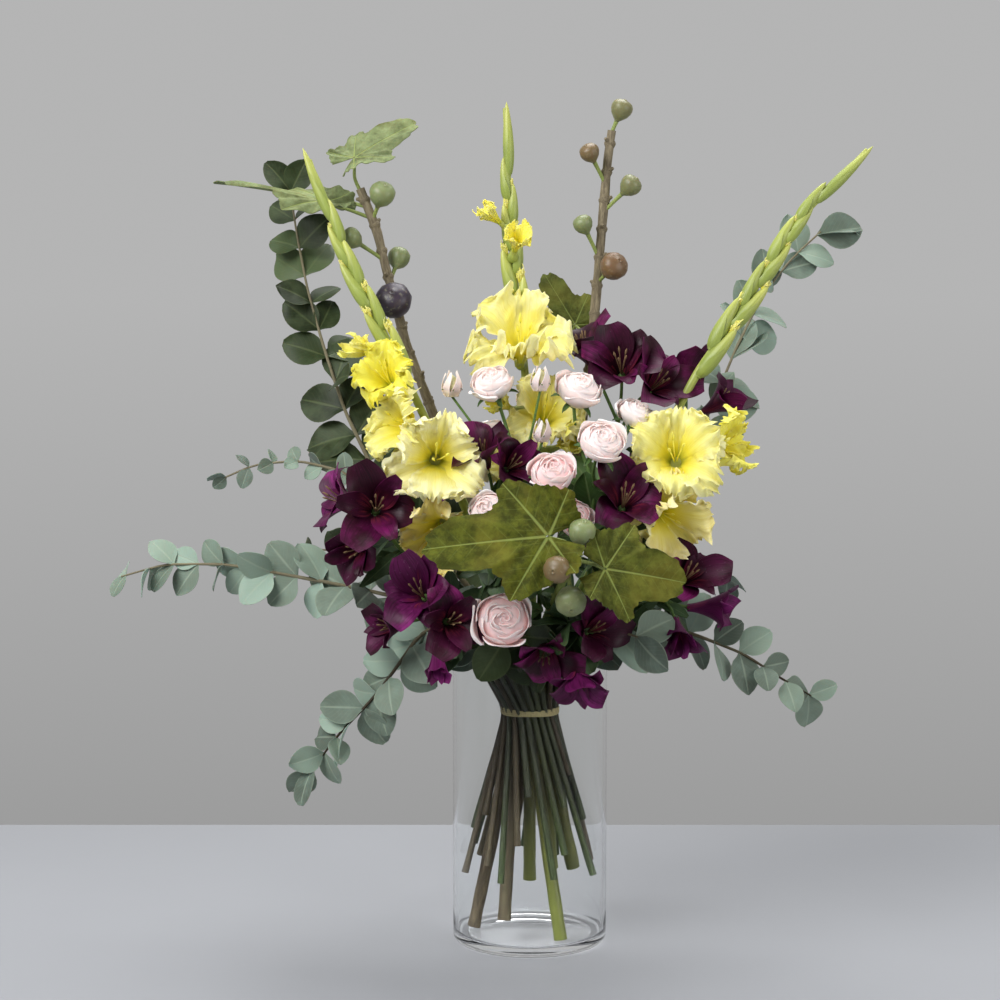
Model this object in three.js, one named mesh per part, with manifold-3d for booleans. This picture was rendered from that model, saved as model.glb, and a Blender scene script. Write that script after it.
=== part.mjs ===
// A mixed bouquet standing in a clear glass cylinder vase. Millimetres, +Z up, the origin at the middle of the
// vase's underside, +X to the right and +Y away from the front of the bouquet.
//
// Thirty-one stems pass through one tie low inside the vase and fan out above and below it in the florist's
// spiral, so that no two of them cross. Three yellow gladiolus spikes and two fig branches stand tall at the
// back. Pale spray roses, dark purple alstroemeria and a fig twig with two broad leaves fill the front, and
// eucalyptus branches hang out to both sides. The back is filled with the same flowers.
import * as THREE from "three";
import { mergeVertices } from "three/addons/utils/BufferGeometryUtils.js";
import Module from "manifold-3d";

const wasm = await Module();
wasm.setup();

// ---------------------------------------------------------------- driving dimensions

const GAP = 0.3; // clearance kept between neighbouring pieces
const VASE = { radius: 75, height: 300, wall: 3.5, floor: 9, heel: 7, sides: 32 };
const TIE = { z: 227, height: 6, thickness: 1.8, flare: 1.5, sides: 16 };

// The bundle at the tie: one thick stem in the middle, six round it and twenty-four thin ones outside.
// reach is how far from the axis a stem passes the vase's rim.
const BUNDLE = {
  middle: { count: 1, radius: 0, stem: 6.2, sides: 5, reach: 0 },
  inner: { count: 6, radius: 13.2, stem: 6.2, sides: 5, reach: 27 },
  outer: { count: 24, radius: 23.4, stem: 2.6, sides: 4, reach: 60 },
};
// How far each ring is turned at the tie, in radians.
const BUNDLE_TURN = { middle: 0, inner: 0.35, outer: 0.12 };
// How each ring widens and turns for each millimetre below the tie.
const BELOW = {
  middle: { widen: 0, turn: 0 },
  inner: { widen: 0.0097, turn: 0.0128 },
  outer: { widen: 0.0095, turn: 0.0085 },
};
const RIM_Z = 292; // the last height at which the bundle sets where a stem runs

const FRUIT_SIDES = 6;
const LEAF = 1; // thickness of a leaf
const PETAL = 0.9; // thickness of a petal
const PETIOLE_TOP = 2.2; // how far above its petiole's line a fig leaf lies
const KEEP_SHARE = 0.85; // a leaf that keeps less than this share clear of its neighbours is left off
// The turns about its stem that a leaf tries, to come clear of its neighbours.
const LEAF_TURNS = [0, 0.4, -0.4, 0.8, -0.8, 1.2, -1.2];

// ---------------------------------------------------------------- colours

const COLOUR = {
  glass: 0xdfe9ea,
  twine: 0xb9a878,
  spike: 0x9aae3c,
  gladiolus: 0xf0e36a,
  figWood: 0x7a6c52,
  figTwig: 0x8fa050,
  figLeaf: 0x6f8a34,
  roseStem: 0x55703a,
  rose: 0xf0d3cb,
  alstroemeria: 0x5a1548,
  eucalyptusDark: 0x44572f,
  eucalyptusPale: 0x8fa893,
};

// ---------------------------------------------------------------- where each stem and bloom goes
// slot: a stem's ring and place in the bundle. rim: the bearing, in degrees, at which it passes the rim.
// foot: height of its cut end. path: the points that it passes above the rim. at, faces and size: where a
// bloom's middle is, the way it faces and its radius.

const GLADIOLI = [
  {
    name: "left",
    slot: ["inner", 1],
    rim: -124,
    foot: 11,
    path: [
      [-42, -28, 380], [-72, -32, 450], [-104, -30, 520], [-138, -26, 590], [-172, -12, 655], [-211, 8, 756],
    ],
    buds: { from: 0.56, count: 6, length: 62, radius: 9 },
    halfOpen: [{ at: [-160, -42, 578], faces: [-0.85, -0.35, 0.2], size: 17 }],
    florets: [
      { at: [-139, -60, 555], faces: [-0.35, -0.75, 0.5], size: 30 },
      { at: [-128, -70, 508], faces: [-0.65, -0.7, 0.1], size: 37 },
      { at: [-86, -97, 478], faces: [0.1, -0.97, 0.1], size: 45 },
      { at: [-88, -80, 404], faces: [-0.2, -0.85, -0.35], size: 38 },
    ],
  },
  {
    name: "middle",
    slot: ["middle", 0],
    rim: 0,
    foot: 58,
    path: [[3, 4, 380], [2, 8, 480], [-8, 12, 585], [-15, 18, 640], [-20, 26, 719], [-24, 32, 807]],
    buds: { from: 0.64, count: 5, length: 58, radius: 9 },
    halfOpen: [
      { at: [-40, 2, 706], faces: [-0.7, -0.35, 0.6], size: 13 },
      { at: [-12, -10, 682], faces: [0.15, -0.75, 0.6], size: 16 },
    ],
    florets: [
      { at: [-8, -30, 592], faces: [0.05, -0.76, 0.64], size: 45 },
      { at: [16, -40, 520], faces: [0.15, -0.92, 0.3], size: 34 },
      { at: [-20, -44, 476], faces: [-0.3, -0.9, 0.1], size: 30 },
    ],
  },
  {
    name: "right",
    slot: ["inner", 3],
    rim: -12,
    foot: 60,
    path: [
      [66, -22, 380], [106, -32, 450], [134, -36, 511], [160, -32, 560], [193, -24, 604], [255, -10, 700],
      [320, 0, 765],
    ],
    buds: { from: 0.52, count: 7, length: 64, radius: 9.5 },
    halfOpen: [],
    florets: [
      { at: [132, -90, 484], faces: [-0.1, -0.95, 0.25], size: 46 },
      { at: [127, -80, 418], faces: [0.35, -0.8, -0.35], size: 38 },
      { at: [188, -64, 488], faces: [0.75, -0.6, 0.2], size: 30 },
    ],
  },
];

// fruit: [middle, radius, where its stalk leaves the wood].
const FIGS = [
  {
    name: "left",
    slot: ["inner", 5],
    rim: 136,
    foot: 11,
    tip: 5,
    path: [
      [-36, 20, 370], [-70, 24, 449], [-103, 28, 536], [-120, 30, 579], [-130, 32, 618], [-140, 32, 655],
      [-148, 30, 690], [-164, 29, 730],
    ],
    fruit: [
      [[-182, 48, 720], 10.5, [-156, 29, 712]],
      [[-142, 12, 724], 12.5, [-152, 30, 700]],
      [[-172, 14, 682], 10.5, [-142, 32, 662]],
      [[-128, 50, 664], 11, [-136, 32, 640]],
      [[-131, 8, 622], 17.5, [-129, 32, 606]],
    ],
    petioles: [
      [[-162, 29, 724], [-170, 30, 740], [-169, 31, 758]],
      [[-154, 30, 702], [-175, 29, 710], [-198, 27, 716]],
    ],
    leaves: [
      {
        name: "upper",
        base: [-169, 31, 758],
        along: [0.7, 0.3, 0.4],
        up: [-0.3, -0.6, 0.74],
        length: 72,
        wide: 0.95,
      },
      {
        name: "lower",
        base: [-198, 27, 716],
        along: [-0.94, 0.02, 0.24],
        up: [0.2, -0.45, 0.87],
        length: 108,
        wide: 0.42,
      },
    ],
  },
  {
    name: "right",
    slot: ["inner", 4],
    rim: 54,
    foot: 95,
    tip: 4.6,
    path: [
      [30, 26, 380], [48, 28, 480], [60, 32, 575], [65, 35, 633], [68, 35, 671], [72, 35, 719], [75, 35, 758],
      [79, 34, 786],
    ],
    fruit: [
      [[88, 30, 806], 10.5, [78, 34, 782]],
      [[57, 20, 764], 9.5, [73, 35, 735]],
      [[97, 26, 733], 10.5, [71, 35, 708]],
      [[51, 24, 696], 9.5, [67, 35, 664]],
      [[80, 12, 655], 13.5, [66, 35, 640]],
    ],
    petioles: [[[61, 33, 585], [56, 60, 588], [46, 84, 598]]],
    leaves: [
      {
        name: "back",
        base: [46, 84, 598],
        along: [-0.5, 0.12, 0.85],
        up: [-0.1, -0.95, 0.25],
        length: 62,
        wide: 0.85,
      },
    ],
  },
  {
    name: "front",
    slot: ["inner", 2],
    rim: -66,
    foot: 70,
    tip: 3.2,
    path: [[15, -48, 322], [22, -88, 345], [30, -130, 374], [42, -154, 392]],
    fruit: [
      [[44, -162, 417], 12.5, [38, -147, 386]],
      [[22, -184, 386], 12.5, [38, -149, 388]],
      [[34, -168, 356], 14, [33, -138, 378]],
    ],
    petioles: [
      [[40, -152, 390], [32, -164, 408], [14, -168, 413]],
      [[40, -152, 390], [54, -164, 389], [64, -168, 384]],
    ],
    leaves: [
      {
        name: "left",
        base: [14, -168, 413],
        along: [-0.99, 0.02, -0.08],
        up: [-0.05, -0.9, 0.42],
        length: 112,
        wide: 0.94,
      },
      {
        name: "right",
        base: [64, -168, 384],
        along: [0.93, 0.1, -0.12],
        up: [0.22, -0.88, 0.42],
        length: 76,
        wide: 1.15,
      },
    ],
  },
];

// Each spray: a main path to its fork, then a stalk to every rose and bud. buds: [middle, radius, fork].
const ROSE_SPRAYS = [
  {
    name: "low",
    slot: ["outer", 6],
    rim: -104,
    foot: 95,
    path: [[-15, -78, 320], [-14, -90, 338]],
    roses: [
      { name: "8", at: [4, -124, 388], faces: [0, -0.95, 0.3], size: 21 },
      { name: "9", at: [-26, -132, 334], faces: [0.05, -0.97, 0.22], size: 28 },
    ],
    buds: [],
  },
  {
    name: "top_left",
    slot: ["outer", 7],
    rim: -94,
    foot: 138,
    path: [[-8, -62, 350], [-8, -64, 430], [-14, -62, 478]],
    roses: [{ name: "1", at: [-36, -66, 546], faces: [-0.25, -0.5, 0.83], size: 23 }],
    buds: [
      [[-74, -58, 542], 8.5, [-12, -62, 470]],
      [[10, -80, 500], 7.5, [-10, -64, 450]],
      [[8, -86, 548], 8, [-11, -63, 462]],
    ],
  },
  {
    name: "centre",
    slot: ["outer", 8],
    rim: -84,
    foot: 70,
    path: [[8, -74, 340], [8, -80, 380], [8, -82, 398]],
    roses: [
      { name: "5", at: [18, -118, 466], faces: [0.05, -0.7, 0.72], size: 23 },
      { name: "6", at: [40, -110, 424], faces: [0.4, -0.85, 0.3], size: 20 },
      { name: "7", at: [-40, -118, 432], faces: [-0.35, -0.75, 0.55], size: 21 },
    ],
    buds: [],
  },
  {
    name: "top_right",
    slot: ["outer", 13],
    rim: -30,
    foot: 80,
    path: [[56, -36, 360], [58, -50, 420], [60, -54, 452]],
    roses: [
      { name: "2", at: [44, -66, 541], faces: [0.2, -0.55, 0.82], size: 25 },
      { name: "3", at: [64, -104, 494], faces: [0.2, -0.7, 0.7], size: 25 },
      { name: "4", at: [98, -64, 518], faces: [0.35, -0.35, 0.87], size: 20 },
    ],
    buds: [],
  },
  {
    name: "back",
    slot: ["outer", 21],
    rim: 96,
    foot: 135,
    path: [[-6, 66, 350], [-6, 74, 410]],
    roses: [
      { name: "10", at: [-40, 94, 486], faces: [-0.35, 0.6, 0.72], size: 24 },
      { name: "11", at: [28, 110, 452], faces: [0.3, 0.8, 0.5], size: 25 },
    ],
    buds: [[[-4, 94, 524], 8, [-6, 72, 396]]],
  },
];

const ALSTROEMERIA = [
  {
    name: "left",
    slot: ["outer", 2],
    rim: -156,
    foot: 70,
    path: [[-88, -42, 345], [-120, -50, 385], [-138, -54, 408]],
    florets: [
      { at: [-190, -66, 440], faces: [-0.9, -0.3, 0.3], size: 31 },
      { at: [-142, -100, 434], faces: [0.1, -0.95, 0.25], size: 34 },
      { at: [-166, -88, 388], faces: [-0.45, -0.8, -0.3], size: 31 },
    ],
  },
  {
    name: "low_left",
    slot: ["outer", 4],
    rim: -132,
    foot: 150,
    path: [[-60, -68, 320], [-74, -86, 334]],
    florets: [
      { at: [-106, -122, 360], faces: [-0.3, -0.85, 0.4], size: 32 },
      { at: [-70, -140, 332], faces: [0.3, -0.92, 0.1], size: 31 },
      { at: [-86, -122, 290], faces: [0.05, -0.55, -0.83], size: 27 },
      { at: [-136, -104, 322], faces: [-0.75, -0.6, -0.1], size: 29 },
    ],
  },
  {
    name: "centre",
    slot: ["outer", 5],
    rim: -118,
    foot: 74,
    path: [[-34, -62, 350], [-36, -70, 400], [-34, -72, 430]],
    florets: [
      { at: [-48, -88, 488], faces: [-0.3, -0.55, 0.78], size: 27 },
      { at: [-14, -100, 474], faces: [0.45, -0.8, 0.35], size: 26 },
    ],
  },
  {
    name: "low",
    slot: ["outer", 10],
    rim: -60,
    foot: 118,
    path: [[32, -70, 318], [34, -86, 324]],
    florets: [
      { at: [12, -114, 292], faces: [-0.1, -0.75, -0.6], size: 29 },
      { at: [44, -114, 268], faces: [0.1, -0.55, -0.8], size: 26 },
      { at: [62, -118, 322], faces: [0.5, -0.8, 0.2], size: 27 },
    ],
  },
  {
    name: "centre_right",
    slot: ["outer", 12],
    rim: -39,
    foot: 142,
    path: [[66, -60, 340], [78, -72, 385], [80, -76, 408]],
    florets: [{ at: [88, -106, 446], faces: [0.15, -0.8, 0.55], size: 34 }],
  },
  {
    name: "right",
    slot: ["outer", 14],
    rim: -20,
    foot: 68,
    path: [[80, -28, 322], [114, -44, 338], [126, -54, 344]],
    florets: [
      { at: [150, -86, 372], faces: [0.35, -0.75, 0.5], size: 29 },
      { at: [176, -66, 336], faces: [0.97, -0.2, 0.05], size: 31 },
      { at: [138, -94, 308], faces: [0.1, -0.75, -0.6], size: 30 },
    ],
  },
  {
    name: "top_right",
    slot: ["outer", 16],
    rim: 3,
    foot: 76,
    path: [[68, 6, 380], [84, 0, 450], [84, -6, 506]],
    florets: [
      { at: [46, -4, 586], faces: [-0.45, -0.2, 0.86], size: 31 },
      { at: [84, -46, 568], faces: [-0.1, -0.8, 0.6], size: 34 },
      { at: [124, -44, 548], faces: [0.5, -0.75, 0.45], size: 31 },
    ],
  },
  {
    name: "far_right",
    slot: ["outer", 17],
    rim: 14,
    foot: 98,
    path: [[84, 16, 380], [128, 14, 450], [148, 12, 490]],
    florets: [
      { at: [148, 12, 562], faces: [-0.1, 0.1, 1], size: 31 },
      { at: [190, 4, 528], faces: [0.8, -0.3, 0.45], size: 30 },
    ],
  },
  {
    name: "back_right",
    slot: ["outer", 20],
    rim: 64,
    foot: 88,
    path: [[48, 66, 340], [80, 86, 385], [90, 92, 408]],
    florets: [
      { at: [118, 106, 444], faces: [0.6, 0.55, 0.55], size: 32 },
      { at: [82, 126, 396], faces: [-0.1, 0.98, 0.1], size: 32 },
    ],
  },
  {
    name: "back_left",
    slot: ["outer", 22],
    rim: 132,
    foot: 110,
    path: [[-60, 58, 340], [-84, 76, 385], [-92, 82, 408]],
    florets: [
      { at: [-118, 100, 448], faces: [-0.6, 0.5, 0.6], size: 32 },
      { at: [-86, 122, 408], faces: [0, 0.97, 0.1], size: 32 },
    ],
  },
];

// leaf: [length at the first pair, length at the last]; pairs: how many; from: the share of the stem below
// them; light: the way that the leaves turn their faces.
const EUCALYPTUS = [
  {
    name: "upper_left",
    slot: ["outer", 0],
    rim: -180,
    foot: 128,
    colour: "eucalyptusPale",
    path: [
      [-94, 4, 365], [-132, 8, 420], [-179, 10, 457], [-223, 14, 468], [-267, 18, 464], [-299, 20, 450],
    ],
    leaf: [30, 18],
    pairs: 6,
    from: 0.56,
    light: [0.2, -0.6, 0.75],
  },
  {
    name: "far_left",
    slot: ["outer", 1],
    rim: -168,
    foot: 84,
    colour: "eucalyptusPale",
    path: [
      [-92, -18, 330], [-140, -20, 342], [-182, -20, 351], [-240, -20, 362], [-292, -20, 371], [-350, -20, 371],
      [-392, -20, 359],
    ],
    leaf: [42, 26],
    pairs: 7,
    from: 0.5,
    light: [0.1, -0.75, 0.6],
  },
  {
    name: "low_left",
    slot: ["outer", 3],
    rim: -144,
    foot: 105,
    colour: "eucalyptusPale",
    path: [
      [-74, -50, 322], [-104, -66, 311], [-126, -76, 280], [-148, -84, 252], [-180, -88, 219], [-206, -88, 184],
    ],
    leaf: [46, 34],
    pairs: 7,
    from: 0.45,
    light: [-0.2, -0.8, 0.55],
  },
  {
    name: "collar",
    slot: ["outer", 9],
    rim: -72,
    foot: 165,
    colour: "eucalyptusDark",
    path: [[8, -76, 312], [-26, -98, 310]],
    leaf: [46, 40],
    pairs: 3,
    from: 0.5,
    light: [0, -0.95, 0.3],
  },
  {
    name: "front_right",
    slot: ["outer", 11],
    rim: -49,
    foot: 72,
    colour: "eucalyptusPale",
    path: [[56, -62, 312], [76, -86, 318], [98, -108, 314]],
    leaf: [52, 48],
    pairs: 3,
    from: 0.78,
    light: [0.1, -0.95, 0.3],
  },
  {
    name: "low_right",
    slot: ["outer", 15],
    rim: -8,
    foot: 122,
    colour: "eucalyptusPale",
    path: [
      [84, -10, 318], [122, -34, 316], [159, -48, 306], [202, -58, 290], [235, -60, 268], [266, -60, 250],
    ],
    leaf: [44, 32],
    pairs: 6,
    from: 0.52,
    light: [0.2, -0.8, 0.55],
  },
  {
    name: "tall_right",
    slot: ["outer", 18],
    rim: 31,
    foot: 150,
    colour: "eucalyptusPale",
    path: [
      [68, 42, 350], [116, 46, 410], [160, 48, 475], [184, 50, 530], [204, 54, 578], [228, 60, 625],
      [256, 62, 662], [286, 62, 690],
    ],
    leaf: [50, 42],
    pairs: 7,
    from: 0.56,
    light: [0.1, -0.85, 0.5],
  },
  {
    name: "back_right",
    slot: ["outer", 19],
    rim: 46,
    foot: 72,
    colour: "eucalyptusPale",
    path: [[78, 66, 335], [126, 92, 356], [168, 108, 356], [206, 120, 338]],
    leaf: [44, 32],
    pairs: 5,
    from: 0.52,
    light: [0.2, 0.75, 0.65],
  },
  {
    name: "back_left",
    slot: ["outer", 23],
    rim: 156,
    foot: 71,
    colour: "eucalyptusDark",
    path: [[-84, 42, 335], [-130, 66, 360], [-176, 84, 372], [-222, 96, 372]],
    leaf: [42, 30],
    pairs: 5,
    from: 0.52,
    light: [-0.2, 0.7, 0.7],
  },
  {
    name: "tall_left",
    slot: ["inner", 0],
    rim: 176,
    foot: 30,
    tip: 1.4,
    colour: "eucalyptusDark",
    path: [
      [-56, 8, 340], [-104, 28, 400], [-150, 40, 450], [-182, 50, 515], [-202, 60, 574], [-219, 68, 633],
      [-229, 70, 685], [-236, 70, 735],
    ],
    leaf: [46, 30],
    pairs: 11,
    from: 0.46,
    light: [0, -0.95, 0.3],
  },
];

// ---------------------------------------------------------------- small helpers

const V = (p) => new THREE.Vector3(...p);
const Z = new THREE.Vector3(0, 0, 1);
const mix = (a, b, share) => a + (b - a) * share;
const degrees = (angle) => (angle * Math.PI) / 180;

/** A repeatable draw from 0 to 1 for each whole number. */
function draw(n) {
  const wave = Math.sin(n * 12.9898 + 4.1) * 43758.5453;
  return wave - Math.floor(wave);
}

/** A frame at `origin` with its z along `axis` and its x as near to `side` as that allows. */
function frame(origin, axis, side) {
  const z = axis.clone().normalize();
  const x = side.clone().addScaledVector(z, -side.dot(z));
  if (x.lengthSq() < 1e-6) x.set(0.3, 0.2, 1).addScaledVector(z, -0.3 * z.x - 0.2 * z.y - z.z);
  x.normalize();
  return new THREE.Matrix4().makeBasis(x, z.clone().cross(x), z).setPosition(origin);
}

/** A closed solid from points and triangles that share their points. */
function fromTriangles(points, triangles) {
  return new wasm.Manifold(
    new wasm.Mesh({
      numProp: 3,
      vertProperties: new Float32Array(points.flatMap((p) => [p.x, p.y, p.z])),
      triVerts: new Uint32Array(triangles.flat()),
    }),
  );
}

/** A round profile of [radius, height] points turned about z, then placed. */
function turned(profile, sides, placed = new THREE.Matrix4()) {
  const lathe = new THREE.LatheGeometry(profile.map(([r, h]) => new THREE.Vector2(r, h)), sides);
  lathe.deleteAttribute("normal");
  lathe.deleteAttribute("uv");
  const merged = mergeVertices(lathe.rotateX(Math.PI / 2).applyMatrix4(placed), 1e-3);
  const position = merged.getAttribute("position");
  const points = [];
  for (let i = 0; i < position.count; i++) points.push(new THREE.Vector3().fromBufferAttribute(position, i));
  const index = merged.getIndex().array;
  const triangles = [];
  for (let i = 0; i < index.length; i += 3) {
    const [a, b, c] = index.slice(i, i + 3);
    if (a !== b && b !== c && c !== a) triangles.push([a, b, c]);
  }
  return fromTriangles(points, triangles);
}

/** A sheet given by its points and upper triangles, thickened along its normals into a closed blade. */
function slab(points, triangles, thickness) {
  const sheet = new THREE.BufferGeometry().setFromPoints(points).setIndex(triangles.flat());
  sheet.computeVertexNormals();
  const normal = sheet.getAttribute("normal");
  const shifted = (by) =>
    points.map((p, i) => p.clone().addScaledVector(new THREE.Vector3().fromBufferAttribute(normal, i), by));
  const n = points.length;
  const edges = new Set(triangles.flatMap(([a, b, c]) => [a + "," + b, b + "," + c, c + "," + a]));
  const walls = [];
  for (const edge of edges) {
    const [a, b] = edge.split(",").map(Number);
    if (!edges.has(b + "," + a)) walls.push([b, a, a + n], [b, a + n, b + n]);
  }
  const underside = triangles.map(([a, b, c]) => [a + n, c + n, b + n]);
  const both = [...shifted(thickness / 2), ...shifted(-thickness / 2)];
  return fromTriangles(both, [...triangles, ...underside, ...walls]);
}

/** A round stem with a ring at each point and a radius for each ring. */
function tube(points, radii, sides, grow) {
  const rings = [];
  let side = new THREE.Vector3(1, 0.2, 0.1);
  points.forEach((p, i) => {
    const ahead = points[Math.min(i + 1, points.length - 1)];
    const behind = points[Math.max(i - 1, 0)];
    const placed = frame(p, ahead.clone().sub(behind), side);
    side = new THREE.Vector3().setFromMatrixColumn(placed, 0);
    const radius = radii[Math.min(i, radii.length - 1)] + grow;
    for (let k = 0; k < sides; k++) {
      const angle = (2 * Math.PI * k) / sides;
      rings.push(new THREE.Vector3(radius * Math.cos(angle), radius * Math.sin(angle), 0).applyMatrix4(placed));
    }
  });
  const triangles = [];
  for (let i = 0; i + 1 < points.length; i++) {
    for (let k = 0; k < sides; k++) {
      const [a, b] = [i * sides + k, i * sides + ((k + 1) % sides)];
      triangles.push([a, b, b + sides], [a, b + sides, a + sides]);
    }
  }
  const last = (points.length - 1) * sides;
  for (let k = 1; k + 1 < sides; k++) triangles.push([0, k + 1, k], [last, last + k, last + k + 1]);
  return fromTriangles(rings, triangles);
}

/** A bud from `root` to `tip`, thickest a third of the way along. */
function bud(root, tip, radius, sides, grow) {
  const axis = tip.clone().sub(root);
  const length = axis.length();
  const profile = [
    [0, -grow], [radius + grow, 0.35 * length], [0.7 * radius + grow, 0.7 * length], [0, length + grow],
  ];
  return turned(profile, sides, frame(root, axis, new THREE.Vector3(1, 0.4, 0.2)));
}

// ---------------------------------------------------------------- stems in their bundle

/** Where a place in the bundle is at height z, at the tie or below it. */
function bundlePoint([ring, index], z) {
  const { radius, count } = BUNDLE[ring];
  const { widen, turn } = BELOW[ring];
  const away = TIE.z - z;
  const angle = (2 * Math.PI * index) / count - Math.PI + BUNDLE_TURN[ring];
  const out = radius * (1 + widen * away);
  const round = radius * turn * away;
  const [c, s] = [Math.cos(angle), Math.sin(angle)];
  return new THREE.Vector3(out * c - round * s, out * s + round * c, z);
}

/** A stem's points: straight from its foot through the tie to the rim, then along its own path. */
function stemPoints({ slot, rim, foot, path }) {
  const { reach } = BUNDLE[slot[0]];
  const over = new THREE.Vector3(reach * Math.cos(degrees(rim)), reach * Math.sin(degrees(rim)), RIM_Z);
  return [bundlePoint(slot, foot), bundlePoint(slot, TIE.z), over, ...path.map(V)];
}

/** The stem itself, tapering above the rim to radius `tip`, and running on through `further` rings. */
function stemRod(stem, tip, grow, further = [], radii = []) {
  const { stem: radius, sides } = BUNDLE[stem.slot[0]];
  const points = stemPoints(stem);
  const taper = points.map((_, i) => mix(radius, tip, Math.max(0, i - 2) / (points.length - 3)));
  return tube([...points, ...further], [...taper, ...radii], sides, grow);
}

/** The stem's middle line, for placing what grows on it. */
function stemLine(stem) {
  const points = stemPoints(stem);
  const line = new THREE.CurvePath();
  points.slice(1).forEach((p, i) => line.add(new THREE.LineCurve3(points[i], p)));
  return line;
}

// ---------------------------------------------------------------- flower heads

/**
 * A flower head as one closed solid, placed so that its z is the way it faces. It stands on a flat foot and
 * rises through the `cup` rings to `steps`, the rings that its petals spring from: layer j of petals stands
 * between ring j and ring j + 1, and the last ring closes over the `heart` rings to the `apex`. Each petal
 * spans `span` of the ring's `around` points, and `sheet(k, s, t)` gives petal k's middle sheet, s from the
 * ring outwards and t across. A petal ends in a point where the layer is pointed and in an edge where not.
 */
function flowerHead({ around, cup, steps, layers, heart, apex }, placed, grow) {
  const points = [];
  const triangles = [];
  const add = (p) => points.push(p) - 1;
  const ring = ([radius, height]) =>
    Array.from({ length: around }, (_, i) => {
      const angle = (2 * Math.PI * i) / around;
      return add(new THREE.Vector3(radius * Math.cos(angle), radius * Math.sin(angle), height));
    });
  const put = (faces, inward) => triangles.push(...(inward ? faces.map((face) => face.reverse()) : faces));
  const quads = (low, high, inward) => {
    for (let c = 0; c + 1 < low.length; c++)
      put([[low[c], low[c + 1], high[c + 1]], [low[c], high[c + 1], high[c]]], inward);
  };
  const fan = (ids, top, inward) => {
    for (let c = 0; c + 1 < ids.length; c++) put([[ids[c], ids[c + 1], top]], inward);
  };
  const closed = (ids) => [...ids, ids[0]];

  const rings = [...cup, steps[0]].map(([radius, height]) => ring([radius + grow, height]));
  fan(closed(rings[0]), add(new THREE.Vector3(0, 0, [...cup, steps[0]][0][1] - grow)), true);
  for (let i = 0; i + 1 < rings.length; i++) quads(closed(rings[i]), closed(rings[i + 1]), false);

  const stairs = [rings.at(-1), ...steps.slice(1).map(([radius, height]) => ring([radius, height + grow]))];
  layers.forEach(({ span, turn, rows, pointed, sheet }, level) => {
    const columns = Array.from({ length: span + 1 }, (_, c) => (2 * c) / span - 1);
    const step = 0.02;
    const face = (k, s, t, inward) => {
      const across = sheet(k, s, t + step).sub(sheet(k, s, t - step));
      const upward = sheet(k, s + step, t).sub(sheet(k, s - step, t));
      const out = across.cross(upward).normalize();
      return add(sheet(k, s, t).addScaledVector(out, (inward ? -1 : 1) * (PETAL / 2 + grow)));
    };
    for (let k = 0; k < around / span; k++) {
      const pick = (ids) => columns.map((_, c) => ids[(turn + k * span + c) % around]);
      let [outer, inner] = [pick(stairs[level]), pick(stairs[level + 1])];
      const sides = (nextOuter, nextInner) => {
        const [a, b, c, d] = [outer, inner, nextOuter, nextInner].map((ids) => ids[0]);
        put([[a, c, d], [a, d, b]], false);
        const [e, f, g, h] = [outer, inner, nextOuter, nextInner].map((ids) => ids.at(-1));
        put([[e, h, g], [e, f, h]], false);
      };
      for (const s of rows) {
        const nextOuter = columns.map((t) => face(k, s, t, false));
        const nextInner = columns.map((t) => face(k, s, t, true));
        quads(outer, nextOuter, false);
        quads(inner, nextInner, true);
        sides(nextOuter, nextInner);
        [outer, inner] = [nextOuter, nextInner];
      }
      if (!pointed) quads(outer, inner, false);
      else {
        const [tipOuter, tipInner] = [face(k, 1, 0, false), face(k, 1, 0, true)];
        fan(outer, tipOuter, false);
        fan(inner, tipInner, true);
        sides([tipOuter], [tipInner]);
      }
    }
  });

  let low = stairs.at(-1);
  for (const [radius, height] of heart) {
    const next = ring([radius + grow, height + grow]);
    quads(closed(low), closed(next), false);
    low = next;
  }
  fan(closed(low), add(new THREE.Vector3(0, 0, apex + grow)), false);
  return fromTriangles(points.map((p) => p.applyMatrix4(placed)), triangles);
}

const bloomFrame = ({ at, faces }) => frame(V(at), V(faces), new THREE.Vector3(0.1, 0.2, 1));

/** Gladiolus: three broad waved petals behind and three in front, flaring from a funnel. */
function gladiolusHead(bloom, grow) {
  const size = bloom.size;
  const petal = (inner) => (k, s, t) => {
    const out = size * (0.2 + (inner ? 0.7 : 0.8) * s);
    const rise = size * ((inner ? 0.62 : 0.5) * (1 - (1 - s) ** 2) - (inner ? 0.12 : 0.22) * s ** 3 - 0.28);
    const width = size * (inner ? 0.5 : 0.44) * Math.sin(Math.PI * (0.2 + 0.78 * Math.min(s, 1)));
    const wave = 0.09 * size * t * Math.sin(7 * s + 2.1 * k + (inner ? 1 : 0));
    const middle = ((2 * k + (inner ? 2 : 1)) * Math.PI) / 3;
    return new THREE.Vector3(out, t * width, rise + wave + 0.1 * size * t * t).applyAxisAngle(Z, middle);
  };
  const layer = (inner) => ({
    span: 2,
    turn: inner ? 1 : 0,
    rows: inner ? [0.45, 0.84] : [0.72],
    pointed: true,
    sheet: petal(inner),
  });
  return flowerHead(
    {
      around: 6,
      cup: [[0.11 * size, -0.9 * size]],
      steps: [[0.24 * size, -0.28 * size], [0.19 * size, -0.24 * size], [0.14 * size, -0.22 * size]],
      layers: [layer(false), layer(true)],
      heart: [],
      apex: -0.42 * size,
    },
    bloomFrame(bloom),
    grow,
  );
}

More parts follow.
